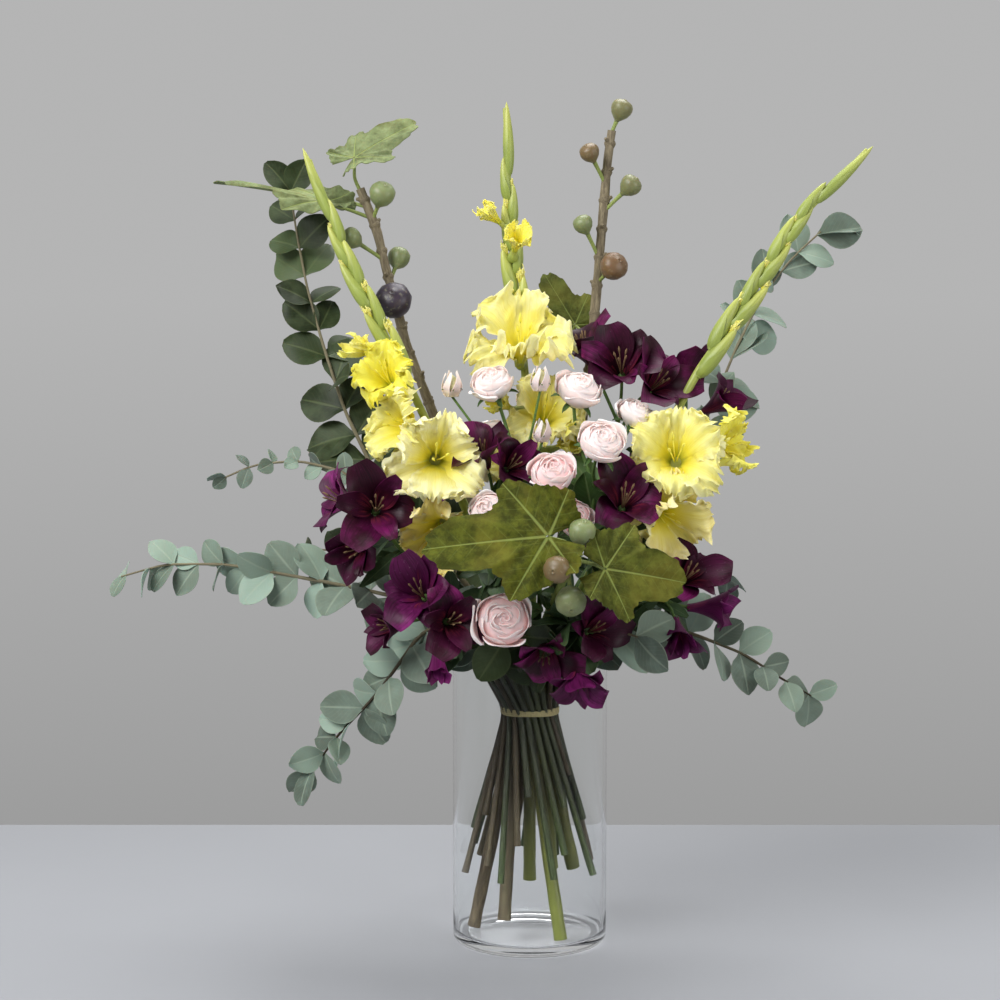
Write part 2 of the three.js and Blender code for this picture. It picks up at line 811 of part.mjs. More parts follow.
/** Six petals in a deep funnel: alstroemeria, and a gladiolus that has only begun to open. */
function funnelHead(bloom, flare, grow) {
  const size = bloom.size;
  const sheet = (k, s, t) => {
    const inner = k % 2;
    const out = size * (0.18 + flare * (inner ? 0.92 : 1) * s ** 1.5);
    const rise = size * (1.24 * s - 0.28 * s * s - 0.82);
    const middle = ((k + 0.5) * Math.PI) / 3;
    return new THREE.Vector3(out, t * out * (inner ? 0.46 : 0.53), rise).applyAxisAngle(Z, middle);
  };
  return flowerHead(
    {
      around: 6,
      cup: [],
      steps: [[0.17 * size, -0.86 * size], [0.11 * size, -0.76 * size]],
      layers: [{ span: 1, turn: 0, rows: [0.68], pointed: true, sheet }],
      heart: [],
      apex: -0.8 * size,
    },
    bloomFrame(bloom),
    grow,
  );
}

/** Spray rose: rings of five broad petals, each ring turned half a petal on, round a closed heart. */
function roseHead(bloom, grow) {
  const size = bloom.size;
  const levels = [
    { root: [0.84, -0.12], lip: [0.96, 0.34], spread: 0.58 },
    { root: [0.68, -0.02], lip: [0.72, 0.5], spread: 0.57 },
    { root: [0.46, 0.04], lip: [0.44, 0.58], spread: 0.55 },
  ].slice(0, size > 24 ? 3 : 2);
  const layers = levels.map(({ root, lip, spread }, level) => ({
    span: 2,
    turn: level % 2,
    rows: [1],
    pointed: false,
    sheet: (k, s, t) => {
      const middle = ((2 * k + 1 + (level % 2)) * Math.PI) / 5;
      const radius = size * mix(root[0], lip[0], s) * (1 + 0.05 * t);
      const angle = middle + t * mix(Math.PI / 5, spread, s);
      const height = size * (mix(root[1], lip[1], s) - 0.08 * t * t * s);
      return new THREE.Vector3(radius * Math.cos(angle), radius * Math.sin(angle), height);
    },
  }));
  return flowerHead(
    {
      around: 10,
      cup: [[0.32 * size, -0.72 * size]],
      steps: [...levels.map(({ root }) => [root[0] * size, root[1] * size]), [0.32 * size, 0.1 * size]],
      layers,
      heart: [[0.24 * size, 0.46 * size]],
      apex: 0.56 * size,
    },
    bloomFrame(bloom),
    grow,
  );
}

/** The point that lies `behind` radii behind a bloom's middle, where its stalk meets it. */
const behind = ({ at, faces, size }, radii, clear = 0) =>
  V(at).addScaledVector(V(faces).normalize(), -radii * size - clear);

// ---------------------------------------------------------------- leaves

/** A eucalyptus leaf: broad and blunt, arched from its root, one blade. */
function roundLeaf(root, along, normal, length, grow) {
  const placed = frame(root, normal, along);
  const rows = [[0, 0], [0.48, 0.36], [0.82, 0.3], [1, 0]];
  const points = rows.flatMap(([s, half]) => {
    const x = length * s + (s > 0.5 ? grow : 0);
    const z = 0.22 * length * s * (1 - s);
    const y = half * length + grow;
    return half ? [new THREE.Vector3(x, -y, z), new THREE.Vector3(x, y, z)] : [new THREE.Vector3(x, 0, z)];
  });
  const triangles = [[0, 1, 2], [1, 3, 4], [1, 4, 2], [3, 5, 4]];
  return slab(points.map((p) => p.applyMatrix4(placed)), triangles, LEAF + 2 * grow);
}

/** A fig leaf: a long middle lobe, two side lobes and a heart-shaped foot, waved across. */
function figLeaf({ base, along, up, length, wide }, grow) {
  const placed = frame(V(base).addScaledVector(V(up).normalize(), PETIOLE_TOP), V(up), V(along));
  const lobes = [
    { at: 0, reach: 1, width: 0.46 },
    { at: 0.98, reach: 0.68, width: 0.4 },
    { at: -0.98, reach: 0.68, width: 0.4 },
    { at: 2.1, reach: 0.42, width: 0.5 },
    { at: -2.1, reach: 0.42, width: 0.5 },
  ];
  const spread = 2.7;
  const sides = 17;
  const rim = (angle) => {
    const reaches = lobes.map((lobe) => lobe.reach * Math.exp(-(((angle - lobe.at) / lobe.width) ** 2) / 1.7));
    return length * Math.max(...reaches, 0.38 + 0.16 * Math.cos(angle));
  };
  const point = (share, angle) => {
    const r = share * (rim(angle) + grow);
    const [x, y] = [r * Math.cos(angle), r * Math.sin(angle) * wide];
    const wave = 0.08 * length * share * share * Math.sin(3 * angle + 1);
    return new THREE.Vector3(x, y, wave + 0.12 * Math.abs(y) - (0.14 * x * x) / length);
  };
  const points = [new THREE.Vector3(0, 0, 0)];
  const triangles = [];
  [0.5, 1].forEach((share, ring) => {
    for (let k = 0; k < sides; k++) {
      points.push(point(share, mix(-spread, spread, k / (sides - 1))));
      const a = ring * sides + k;
      if (k === 0) continue;
      if (ring === 0) triangles.push([0, a, a + 1]);
      else triangles.push([a - sides, a, a + 1], [a - sides, a + 1, a + 1 - sides]);
    }
  });
  return slab(points.map((p) => p.applyMatrix4(placed)), triangles, LEAF + 2 * grow);
}

// ---------------------------------------------------------------- the vase and the tie

function vase() {
  const { radius, height, wall, floor, heel, sides } = VASE;
  const inside = radius - wall;
  const lip = height - wall / 2;
  const profile = [
    [0, 0], [radius - heel, 0], [radius, heel], [radius, lip], [radius - wall / 2, height], [inside, lip],
    [inside, floor + 4], [inside - 4, floor], [0, floor],
  ];
  return turned(profile, sides);
}

/** The tie: a band drawn in at the middle, so that it follows the stems as they fan out. */
function tie() {
  const { z, height, thickness, flare, sides } = TIE;
  const inside = BUNDLE.outer.radius + BUNDLE.outer.stem + 0.8;
  const outside = inside + thickness;
  const [low, high] = [z - height / 2, z + height / 2];
  const profile = [
    [inside, z], [inside + 0.3 * flare, low], [outside + 0.3 * flare, low], [outside, z],
    [outside + flare, high], [inside + flare, high], [inside, z],
  ];
  return turned(profile, sides);
}

// ---------------------------------------------------------------- the pieces
// frame(grow): what carries a piece, never cut. parts(): its own blooms and buds, cut clear of all before
// them. leaves(): the leaves, each tried in several places. Each part is a function of `grow`.

const pieces = [];

for (const spike of GLADIOLI) {
  const { name, path, buds, halfOpen, florets } = spike;
  const line = new THREE.CatmullRomCurve3(path.map(V));
  pieces.push({
    name: "gladiolus_" + name + "_spike",
    colour: "spike",
    frame: (grow) => {
      const stations = line.getSpacedPoints(60);
      const stalks = [...florets, ...halfOpen].map((bloom) => {
        const end = behind(bloom, florets.includes(bloom) ? 0.9 : 0.8, florets.includes(bloom) ? GAP : 0);
        const near = stations.reduce((best, p) => (p.distanceTo(end) < best.distanceTo(end) ? p : best));
        const middle = end.clone().addScaledVector(V(bloom.faces).normalize(), -5);
        return tube([near.clone().add(new THREE.Vector3(0, 0, -8)), middle, end], [3.6, 4.6, 4.4], 4, grow);
      });
      return [stemRod(spike, 2.2, grow), ...stalks];
    },
    parts: () => [
      ...Array.from({ length: buds.count }, (_, i) => (grow) => {
        const share = i / (buds.count - 1);
        const root = line.getPointAt(mix(buds.from, 0.94, share));
        const ahead = line.getTangentAt(mix(buds.from, 0.94, share));
        const side = new THREE.Vector3(i % 2 ? -1 : 1, -0.5, 0);
        side.addScaledVector(ahead, -side.dot(ahead)).normalize();
        const shrink = mix(1, 0.6, share);
        const tip = root.clone().addScaledVector(ahead, buds.length * shrink).addScaledVector(side, 9 * shrink);
        return bud(root.addScaledVector(side, 1.5), tip, buds.radius * shrink, 4, grow);
      }),
      ...halfOpen.map((bloom) => (grow) => funnelHead(bloom, 0.5, grow)),
    ],
  });
  florets.forEach((bloom, i) =>
    pieces.push({
      name: "gladiolus_" + name + "_floret_" + (i + 1),
      colour: "gladiolus",
      bloom: (grow) => gladiolusHead(bloom, grow),
    }),
  );
}

for (const branch of FIGS) {
  const { name, fruit, petioles, leaves, tip } = branch;
  pieces.push({
    name: "fig_" + name + "_branch",
    colour: name === "front" ? "figTwig" : "figWood",
    frame: (grow) => {
      const fruits = fruit.map(([at, radius, from]) => {
        const neck = -V(at).distanceTo(V(from));
        const profile = [
          [0, neck], [2.2 + grow, neck], [2.2 + grow, -1.05 * radius], [0.9 * radius + grow, -0.35 * radius],
          [0.93 * radius + grow, 0.4 * radius], [0, 0.9 * radius + grow],
        ];
        return turned(profile, FRUIT_SIDES, frame(V(at), V(at).sub(V(from)), new THREE.Vector3(1, 0, 0.2)));
      });
      const holders = petioles.map((points) => tube(points.map(V), [1.9, 1.6, 1.3], 4, grow));
      return [stemRod(branch, tip, grow), ...fruits, ...holders];
    },
  });
  for (const leaf of leaves)
    pieces.push({
      name: "fig_" + name + "_leaf_" + leaf.name,
      colour: "figLeaf",
      bloom: (grow) => figLeaf(leaf, grow),
    });
}

for (const spray of ROSE_SPRAYS) {
  const { name, path, roses, buds } = spray;
  pieces.push({
    name: "rose_spray_" + name,
    colour: "roseStem",
    frame: (grow) => {
      const [fork, below] = [V(path.at(-1)), V(path.at(-2))];
      const toward = (bloom) =>
        [behind(bloom, 1.4).lerp(fork, 0.25), behind(bloom, 0.95), behind(bloom, 0.72, GAP)];
      const rod = stemRod(spray, 1.9, grow, toward(roses[0]), [1.9, 2.1, 5.2]);
      const stalks = roses.slice(1).map((bloom, i) => {
        const start = fork.clone().lerp(below, 0.12 + 0.15 * i);
        return tube([start, ...toward(bloom)], [1.9, 1.9, 2.1, 5.2], 4, grow);
      });
      const knobs = buds.flatMap(([at, radius, from]) => {
        const [root, tip] = [-1, 1.6].map((share) => V(at).add(new THREE.Vector3(0, 0, share * radius)));
        const bend = V(from).lerp(root, 0.6).add(new THREE.Vector3(0, 0, -8));
        const stalk = tube([V(from), bend, root.clone().lerp(tip, 0.1)], [1.6], 4, grow);
        return [bud(root, tip, radius, 5, grow), stalk];
      });
      return [rod, ...stalks, ...knobs];
    },
  });
  for (const bloom of roses)
    pieces.push({ name: "rose_" + bloom.name, colour: "rose", bloom: (grow) => roseHead(bloom, grow) });
}

for (const stem of ALSTROEMERIA) {
  const { name, path, florets } = stem;
  pieces.push({
    name: "alstroemeria_" + name,
    colour: "alstroemeria",
    frame: (grow) => {
      const [fork, below] = [V(path.at(-1)), V(path.at(-2))];
      const toward = (bloom) => [behind(bloom, 1.35).lerp(fork, 0.35), behind(bloom, 0.82)];
      const stalks = florets.slice(1).map((bloom, i) => {
        const start = fork.clone().lerp(below, 0.15 + 0.2 * i);
        return tube([start, ...toward(bloom)], [1.8, 1.8, 1.5], 4, grow);
      });
      return [stemRod(stem, 2, grow, toward(florets[0]), [1.8, 1.5]), ...stalks];
    },
    parts: () => florets.map((bloom) => (grow) => funnelHead(bloom, 0.78, grow)),
  });
}

EUCALYPTUS.forEach((branch, number) => {
  const { name, leaf, pairs, from, light, colour, tip } = branch;
  pieces.push({
    name: "eucalyptus_" + name,
    colour,
    frame: (grow) => [stemRod(branch, tip ?? 1.1, grow)],
    leaves: () => {
      const line = stemLine(branch);
      return Array.from({ length: 2 * pairs }, (_, k) => {
        const pair = Math.floor(k / 2);
        const step = pair / (pairs - 1);
        const share = mix(from, 0.985, step);
        const root = line.getPoint(share);
        const ahead = line.getTangent(share);
        const placed = frame(root, ahead, V(light));
        const key = number * 100 + k;
        const size = mix(leaf[0], leaf[1], step) * (0.92 + 0.16 * draw(key));
        const lean = mix(1.25, 0.8, step) + 0.25 * draw(key + 40);
        return (turn) => (grow) => {
          const sway = 0.6 * (draw(key + 80) - 0.5);
          const round = Math.PI / 2 + (pair % 2) * 0.6 + (k % 2) * Math.PI + sway + turn;
          const along = new THREE.Vector3(Math.cos(round), Math.sin(round), 0).multiplyScalar(Math.sin(lean));
          along.z = Math.cos(lean);
          return roundLeaf(root, along.transformDirection(placed), V(light).lerp(ahead, 0.3), size, grow);
        };
      });
    },
  });
});

// ---------------------------------------------------------------- fusing each piece and cutting it clear

const join = (solids) => wasm.Manifold.union(solids);
const boxed = (solid, owner) => ({ solid, owner, box: solid.boundingBox() });
const meet = (a, b) => a.min.every((low, i) => low < b.max[i] && b.min[i] < a.max[i]);
const largest = (solid) => {
  const bodies = solid.decompose();
  return bodies.reduce((best, body) => (body.volume() > best.volume() ? body : best), bodies[0]);
};

const solids = new Map([["vase", [vase(), "glass"]], ["tie", [tie(), "twine"]]]);
// What a later petal or leaf keeps clear of: every carrier, and the petals and leaves placed so far.
const guards = [...solids.values()].map(([solid]) => boxed(solid, null));
for (const piece of pieces)
  if (piece.frame) guards.push(...piece.frame(GAP).map((solid) => boxed(solid, piece)));

/** A solid less whatever of other pieces stands in its way; a share of 1 is kept where nothing does. */
function clear(solid, owner) {
  const box = solid.boundingBox();
  const near = guards.filter((guard) => guard.owner !== owner && meet(guard.box, box));
  if (!near.length) return { kept: solid, share: 1 };
  const cut = wasm.Manifold.difference([solid, ...near.map((guard) => guard.solid)]);
  const kept = cut.isEmpty() ? null : largest(cut);
  return { kept, share: kept ? kept.volume() / solid.volume() : 0 };
}

for (const piece of pieces) {
  if (!piece.bloom) continue;
  solids.set(piece.name, [clear(piece.bloom(0), piece).kept, piece.colour]);
  guards.push(boxed(piece.bloom(GAP), piece));
}

for (const piece of pieces) {
  if (!piece.frame) continue;
  const kept = [];
  for (const part of piece.parts?.() ?? []) {
    kept.push(clear(part(0), piece).kept);
    guards.push(boxed(part(GAP), piece));
  }
  for (const leaf of piece.leaves?.() ?? []) {
    const sisters = kept.length ? join(kept) : null;
    let best = { score: 0 };
    for (const turn of LEAF_TURNS) {
      const blade = leaf(turn)(0);
      const tried = clear(blade, piece);
      const shared = sisters ? sisters.intersect(blade).volume() / blade.volume() : 0;
      const score = tried.share - 3 * shared;
      if (tried.share > KEEP_SHARE && score > best.score + 0.01) best = { ...tried, score, turn };
      if (best.score > 0.995) break;
    }
    if (best.score === 0) continue;
    kept.push(best.kept);
    guards.push(boxed(leaf(best.turn)(GAP), piece));
  }
  solids.set(piece.name, [largest(join([...piece.frame(0), ...kept])), piece.colour]);
}

// ---------------------------------------------------------------- the group

const bouquet = new THREE.Group();
bouquet.name = "bouquet_in_vase";
for (const [name, [solid, colour]] of solids) {
  const mesh = solid.getMesh();
  const geometry = new THREE.BufferGeometry();
  geometry.setAttribute("position", new THREE.BufferAttribute(mesh.vertProperties, mesh.numProp));
  geometry.setIndex(new THREE.BufferAttribute(mesh.triVerts, 1));
  geometry.computeVertexNormals();
  const glass = colour === "glass";
  const material = new THREE.MeshStandardMaterial({
    color: COLOUR[colour],
    roughness: glass ? 0.05 : 0.6,
    metalness: 0,
    transparent: glass,
    opacity: glass ? 0.35 : 1,
  });
  const piece = new THREE.Mesh(geometry, material);
  piece.name = name;
  bouquet.add(piece);
}

export default bouquet;
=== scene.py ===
"""A mixed bouquet in a clear glass cylinder vase: gladiolus, spray roses, alstroemeria, fig and eucalyptus.

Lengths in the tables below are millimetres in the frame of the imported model; meshes are written in metres.
"""

import bpy
import numpy as np
from bpy.props import FloatProperty, FloatVectorProperty, PointerProperty
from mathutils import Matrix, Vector


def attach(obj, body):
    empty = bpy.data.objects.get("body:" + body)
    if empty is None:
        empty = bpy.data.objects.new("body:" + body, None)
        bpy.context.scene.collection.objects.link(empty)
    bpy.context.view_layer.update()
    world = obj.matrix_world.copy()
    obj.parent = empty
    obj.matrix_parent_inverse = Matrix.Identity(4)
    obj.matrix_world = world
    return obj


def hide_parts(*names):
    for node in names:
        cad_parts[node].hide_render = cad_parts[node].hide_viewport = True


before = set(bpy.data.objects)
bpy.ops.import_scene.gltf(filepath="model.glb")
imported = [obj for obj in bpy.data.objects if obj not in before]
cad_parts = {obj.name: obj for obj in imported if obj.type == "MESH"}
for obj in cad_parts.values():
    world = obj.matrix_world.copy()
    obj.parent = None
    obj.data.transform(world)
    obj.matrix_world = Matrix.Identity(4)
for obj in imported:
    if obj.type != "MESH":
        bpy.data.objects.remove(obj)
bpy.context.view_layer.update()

bl_info = {
    "name": "Bouquet in a glass vase",
    "version": (1, 0, 0),
    "blender": (4, 5, 0),
    "location": "3D View > Sidebar > Bouquet",
    "description": "Builds a hand-tied bouquet standing in a clear glass cylinder vase",
    "category": "Add Mesh",
}

TAU = 2 * np.pi
GOLDEN_ANGLE = 2.39996
# The side of a flower that its first petal is nearest to.
UPRIGHT = (0.1, 0.2, 1)

# ------------------------------------------------------------------ where everything stands

# Ring of the tied bundle: how many stems, distance from the axis, stem radius, distance from the axis at the
# vase's rim, turn of the ring, and how the ring widens and turns for each millimetre below the tie.
RINGS = {
    "middle": (1, 0.0, 5.4, 0.0, 0.0, 0.0, 0.0),
    "inner": (6, 13.2, 5.4, 27.0, 0.35, 0.0097, 0.0128),
    "outer": (24, 23.4, 2.7, 60.0, 0.12, 0.0095, 0.0085),
}
TIE_Z = 227.0
RIM_Z = 292.0

# name: ring, place, bearing at the rim, height of the cut end, points above the rim
GLADIOLUS_STEMS = {
    "left": ("inner", 1, -124, 11, [(-42, -28, 380), (-72, -32, 450), (-104, -30, 520), (-138, -26, 590),
        (-172, -12, 655), (-211, 8, 756)]),
    "middle": ("middle", 0, 0, 58, [(3, 4, 380), (2, 8, 480), (-8, 12, 585), (-15, 18, 640), (-20, 26, 719),
        (-24, 32, 807)]),
    "right": ("inner", 3, -12, 60, [(66, -22, 380), (106, -32, 450), (134, -36, 511), (160, -32, 560),
        (193, -24, 604), (255, -10, 700), (320, 0, 765)]),
}
# name: share of the stem where the buds begin, how many, length and radius of the lowest
GLADIOLUS_BUDS = {"left": (0.46, 8, 56, 6.4), "middle": (0.52, 7, 52, 6.4), "right": (0.43, 9, 58, 6.8)}
# middle, the way it faces, radius
HALF_OPEN = {
    "left": [((-160, -42, 578), (-0.85, -0.35, 0.2), 21)],
    "middle": [((-40, 2, 706), (-0.7, -0.35, 0.6), 18), ((-12, -10, 682), (0.15, -0.75, 0.6), 22),
        ((38, -46, 492), (0.4, -0.85, 0.3), 24), ((-30, -40, 528), (-0.5, -0.8, 0.35), 22)],
    "right": [],
}
# The last two values: from 0 for a young lemon bloom through 0.5 for a cream one to 1 for an old golden one, and
# how crumpled it is.
GLADIOLUS_BLOOMS = {
    "left": [((-139, -60, 555), (-0.35, -0.75, 0.5), 30, 0.05, 1.7),
        ((-128, -70, 508), (-0.65, -0.7, 0.1), 37, 0.25, 1.4),
        ((-86, -97, 478), (0.1, -0.97, 0.1), 45, 0.42, 1.5),
        ((-88, -80, 404), (-0.2, -0.85, -0.35), 38, 0.95, 1.3)],
    "middle": [((-8, -30, 592), (0.05, -0.7, 0.7), 46, 0.34, 2.0),
        ((16, -40, 520), (0.15, -0.82, 0.55), 37, 0.34, 1.4),
        ((-20, -44, 476), (-0.3, -0.85, 0.42), 33, 0.34, 1.4)],
    "right": [((132, -90, 484), (-0.1, -0.93, 0.35), 45, 0.3, 1.6),
        ((127, -80, 418), (0.35, -0.8, -0.35), 38, 0.8, 1.4),
        ((188, -64, 488), (0.75, -0.6, 0.2), 30, 0.08, 1.7)],
}

FIG_STEMS = {
    "left": ("inner", 5, 136, 11, [(-36, 20, 370), (-70, 24, 449), (-103, 28, 536), (-120, 30, 579),
        (-130, 32, 618), (-140, 32, 655), (-148, 30, 690), (-164, 29, 730)]),
    "right": ("inner", 4, 54, 95, [(30, 26, 380), (48, 28, 480), (60, 32, 575), (65, 35, 633), (68, 35, 671),
        (72, 35, 719), (75, 35, 758), (79, 34, 786)]),
    "front": ("inner", 2, -66, 70, [(15, -48, 322), (22, -88, 345), (30, -130, 374), (42, -154, 392)]),
}
# middle, radius, where the stalk leaves the wood, ripeness from green at 0 through brown to purple at 1
FIGS = {
    "left": [((-182, 48, 720), 10.5, (-156, 29, 712), 0.1), ((-142, 12, 724), 12.5, (-152, 30, 700), 0.05),
        ((-172, 14, 682), 10.5, (-142, 32, 662), 0.12), ((-128, 50, 664), 11, (-136, 32, 640), 0.08),
        ((-131, 8, 622), 17.5, (-129, 32, 606), 0.95)],
    "right": [((88, 30, 806), 10.5, (78, 34, 782), 0.35), ((57, 20, 764), 9.5, (73, 35, 735), 0.5),
        ((97, 26, 733), 10.5, (71, 35, 708), 0.3), ((51, 24, 696), 9.5, (67, 35, 664), 0.15),
        ((80, 12, 655), 13.5, (66, 35, 640), 0.6)],
    "front": [((44, -162, 417), 12.5, (38, -147, 386), 0.05), ((22, -184, 386), 12.5, (38, -149, 388), 0.5),
        ((34, -168, 356), 14, (33, -138, 378), 0.08)],
}
FIG_PETIOLES = {
    "left": [[(-162, 29, 724), (-170, 30, 740), (-169, 31, 758)],
        [(-154, 30, 702), (-175, 29, 710), (-198, 27, 716)]],
    "right": [[(61, 33, 585), (56, 60, 588), (46, 84, 598)]],
    "front": [[(40, -152, 390), (32, -164, 408), (14, -168, 413)],
        [(40, -152, 390), (54, -164, 389), (64, -168, 384)]],
}
# node: foot of the blade, the way its midrib runs, the way its face looks, length, width to length, paleness
FIG_LEAVES = {
    "fig_left_leaf_upper": ((-169, 31, 758), (0.7, 0.3, 0.4), (-0.3, -0.6, 0.74), 72, 0.95, 0.75),
    "fig_left_leaf_lower": ((-198, 27, 716), (-0.94, 0.02, 0.24), (0.2, -0.45, 0.87), 108, 0.42, 0.8),
    "fig_right_leaf_back": ((46, 84, 598), (-0.5, 0.12, 0.85), (-0.1, -0.95, 0.25), 62, 0.85, 0.15),
    "fig_front_leaf_left": ((14, -168, 413), (-0.99, 0.02, -0.08), (-0.05, -0.9, 0.42), 112, 0.94, 0.04),
    "fig_front_leaf_right": ((64, -168, 384), (0.93, 0.1, -0.12), (0.22, -0.88, 0.42), 76, 1.15, 0.08),
}
# A lobe's bearing from the midrib, its reach and its width.
FIG_LOBES = [(0, 1, 0.5), (1.0, 0.62, 0.46), (-1.0, 0.62, 0.46), (2.05, 0.42, 0.5), (-2.05, 0.42, 0.5)]

ROSE_STEMS = {
    "low": ("outer", 6, -104, 95, [(-15, -78, 320), (-14, -90, 338)]),
    "top_left": ("outer", 7, -94, 138, [(-8, -62, 350), (-8, -64, 430), (-14, -62, 478)]),
    "centre": ("outer", 8, -84, 70, [(8, -74, 340), (8, -80, 380), (8, -82, 398)]),
    "top_right": ("outer", 13, -30, 80, [(56, -36, 360), (58, -50, 420), (60, -54, 452)]),
    "back": ("outer", 21, 96, 135, [(-6, 66, 350), (-6, 74, 410)]),
}
# number: spray, middle, the way it faces, radius, pinkness
ROSES = {
    8: ("low", (4, -124, 388), (0, -0.95, 0.3), 21, 0.35),
    9: ("low", (-26, -132, 334), (0.05, -0.97, 0.22), 29, 0.75),
    1: ("top_left", (-36, -66, 546), (-0.25, -0.5, 0.83), 23, 0.1),
    5: ("centre", (18, -118, 466), (0.05, -0.7, 0.72), 24, 1.0),
    6: ("centre", (40, -110, 424), (0.4, -0.85, 0.3), 20, 0.95),
    7: ("centre", (-40, -118, 432), (-0.35, -0.75, 0.55), 21, 0.3),
    2: ("top_right", (44, -66, 541), (0.2, -0.55, 0.82), 25, 0.15),
    3: ("top_right", (64, -104, 494), (0.2, -0.7, 0.7), 25, 0.25),
    4: ("top_right", (98, -64, 518), (0.35, -0.35, 0.87), 20, 0.1),
    10: ("back", (-40, 94, 486), (-0.35, 0.6, 0.72), 24, 0.3),
    11: ("back", (28, 110, 452), (0.3, 0.8, 0.5), 25, 0.5),
}
# spray: middle, radius and fork of each closed bud
ROSE_BUDS = {
    "top_left": [((-74, -58, 542), 8.5, (-12, -62, 470)), ((10, -80, 500), 7.5, (-10, -64, 450)),
        ((8, -86, 548), 8, (-11, -63, 462))],
    "back": [((-4, 94, 524), 8, (-6, 72, 396))],
}

ALSTROEMERIA = {
    "left": ("outer", 2, -156, 70, [(-88, -42, 345), (-120, -50, 385), (-138, -54, 408)],
        [((-190, -66, 440), (-0.9, -0.3, 0.3), 31), ((-142, -100, 434), (0.1, -0.95, 0.25), 34),
        ((-166, -88, 388), (-0.45, -0.8, -0.3), 31)]),
    "low_left": ("outer", 4, -132, 150, [(-60, -68, 320), (-74, -86, 334)],
        [((-106, -122, 360), (-0.3, -0.85, 0.4), 32), ((-70, -140, 332), (0.3, -0.92, 0.1), 31),
        ((-86, -122, 290), (0.05, -0.55, -0.83), 27), ((-136, -104, 322), (-0.75, -0.6, -0.1), 29)]),
    "centre": ("outer", 5, -118, 74, [(-34, -62, 350), (-36, -70, 400), (-34, -72, 430)],
        [((-48, -88, 488), (-0.3, -0.55, 0.78), 27), ((-14, -100, 474), (0.45, -0.8, 0.35), 26)]),
    "low": ("outer", 10, -60, 118, [(32, -70, 318), (34, -86, 324)],
        [((12, -114, 292), (-0.1, -0.75, -0.6), 29), ((44, -114, 268), (0.1, -0.55, -0.8), 26),
        ((62, -118, 322), (0.5, -0.8, 0.2), 27)]),
    "centre_right": ("outer", 12, -39, 142, [(66, -60, 340), (78, -72, 385), (80, -76, 408)],
        [((88, -106, 446), (0.15, -0.8, 0.55), 34)]),
    "right": ("outer", 14, -20, 68, [(80, -28, 322), (114, -44, 338), (126, -54, 344)],
        [((150, -86, 372), (0.35, -0.75, 0.5), 29), ((176, -66, 336), (0.97, -0.2, 0.05), 31),
        ((138, -94, 308), (0.1, -0.75, -0.6), 30)]),
    "top_right": ("outer", 16, 3, 76, [(68, 6, 380), (84, 0, 450), (84, -6, 506)],
        [((46, -4, 586), (-0.45, -0.2, 0.86), 31), ((84, -46, 568), (-0.1, -0.8, 0.6), 34),
        ((124, -44, 548), (0.5, -0.75, 0.45), 31)]),
    "far_right": ("outer", 17, 14, 98, [(84, 16, 380), (128, 14, 450), (148, 12, 490)],
        [((148, 12, 562), (-0.1, 0.1, 1), 31), ((190, 4, 528), (0.8, -0.3, 0.45), 30)]),
    "back_right": ("outer", 20, 64, 88, [(48, 66, 340), (80, 86, 385), (90, 92, 408)],
        [((118, 106, 444), (0.6, 0.55, 0.55), 32), ((82, 126, 396), (-0.1, 0.98, 0.1), 32)]),
    "back_left": ("outer", 22, 132, 110, [(-60, 58, 340), (-84, 76, 385), (-92, 82, 408)],
        [((-118, 100, 448), (-0.6, 0.5, 0.6), 32), ((-86, 122, 408), (0, 0.97, 0.1), 32)]),
}

# How far the florets that are still half closed have opened.
TRUMPETS = {("low_left", 2): 0.3, ("low_left", 3): 0.6, ("right", 1): 0.55, ("right", 2): 0.5, ("left", 2): 0.7,
    ("far_right", 1): 0.7}

# Florets that take the lit copy of the petal material, a painted highlight that makes them lighter than the
# others.
HIGHLIT_FLORETS = {("low_left", 0), ("low_left", 2), ("low", 1), ("right", 1), ("right", 2), ("left", 0),
    ("back_left", 1)}

# How many broad leaves hang from a stem where it leaves the vase.
NECK_LEAVES = {"low_left": 9, "low": 9, "centre_right": 6, "right": 5, "centre": 9, "back_left": 7,
    "back_right": 7}

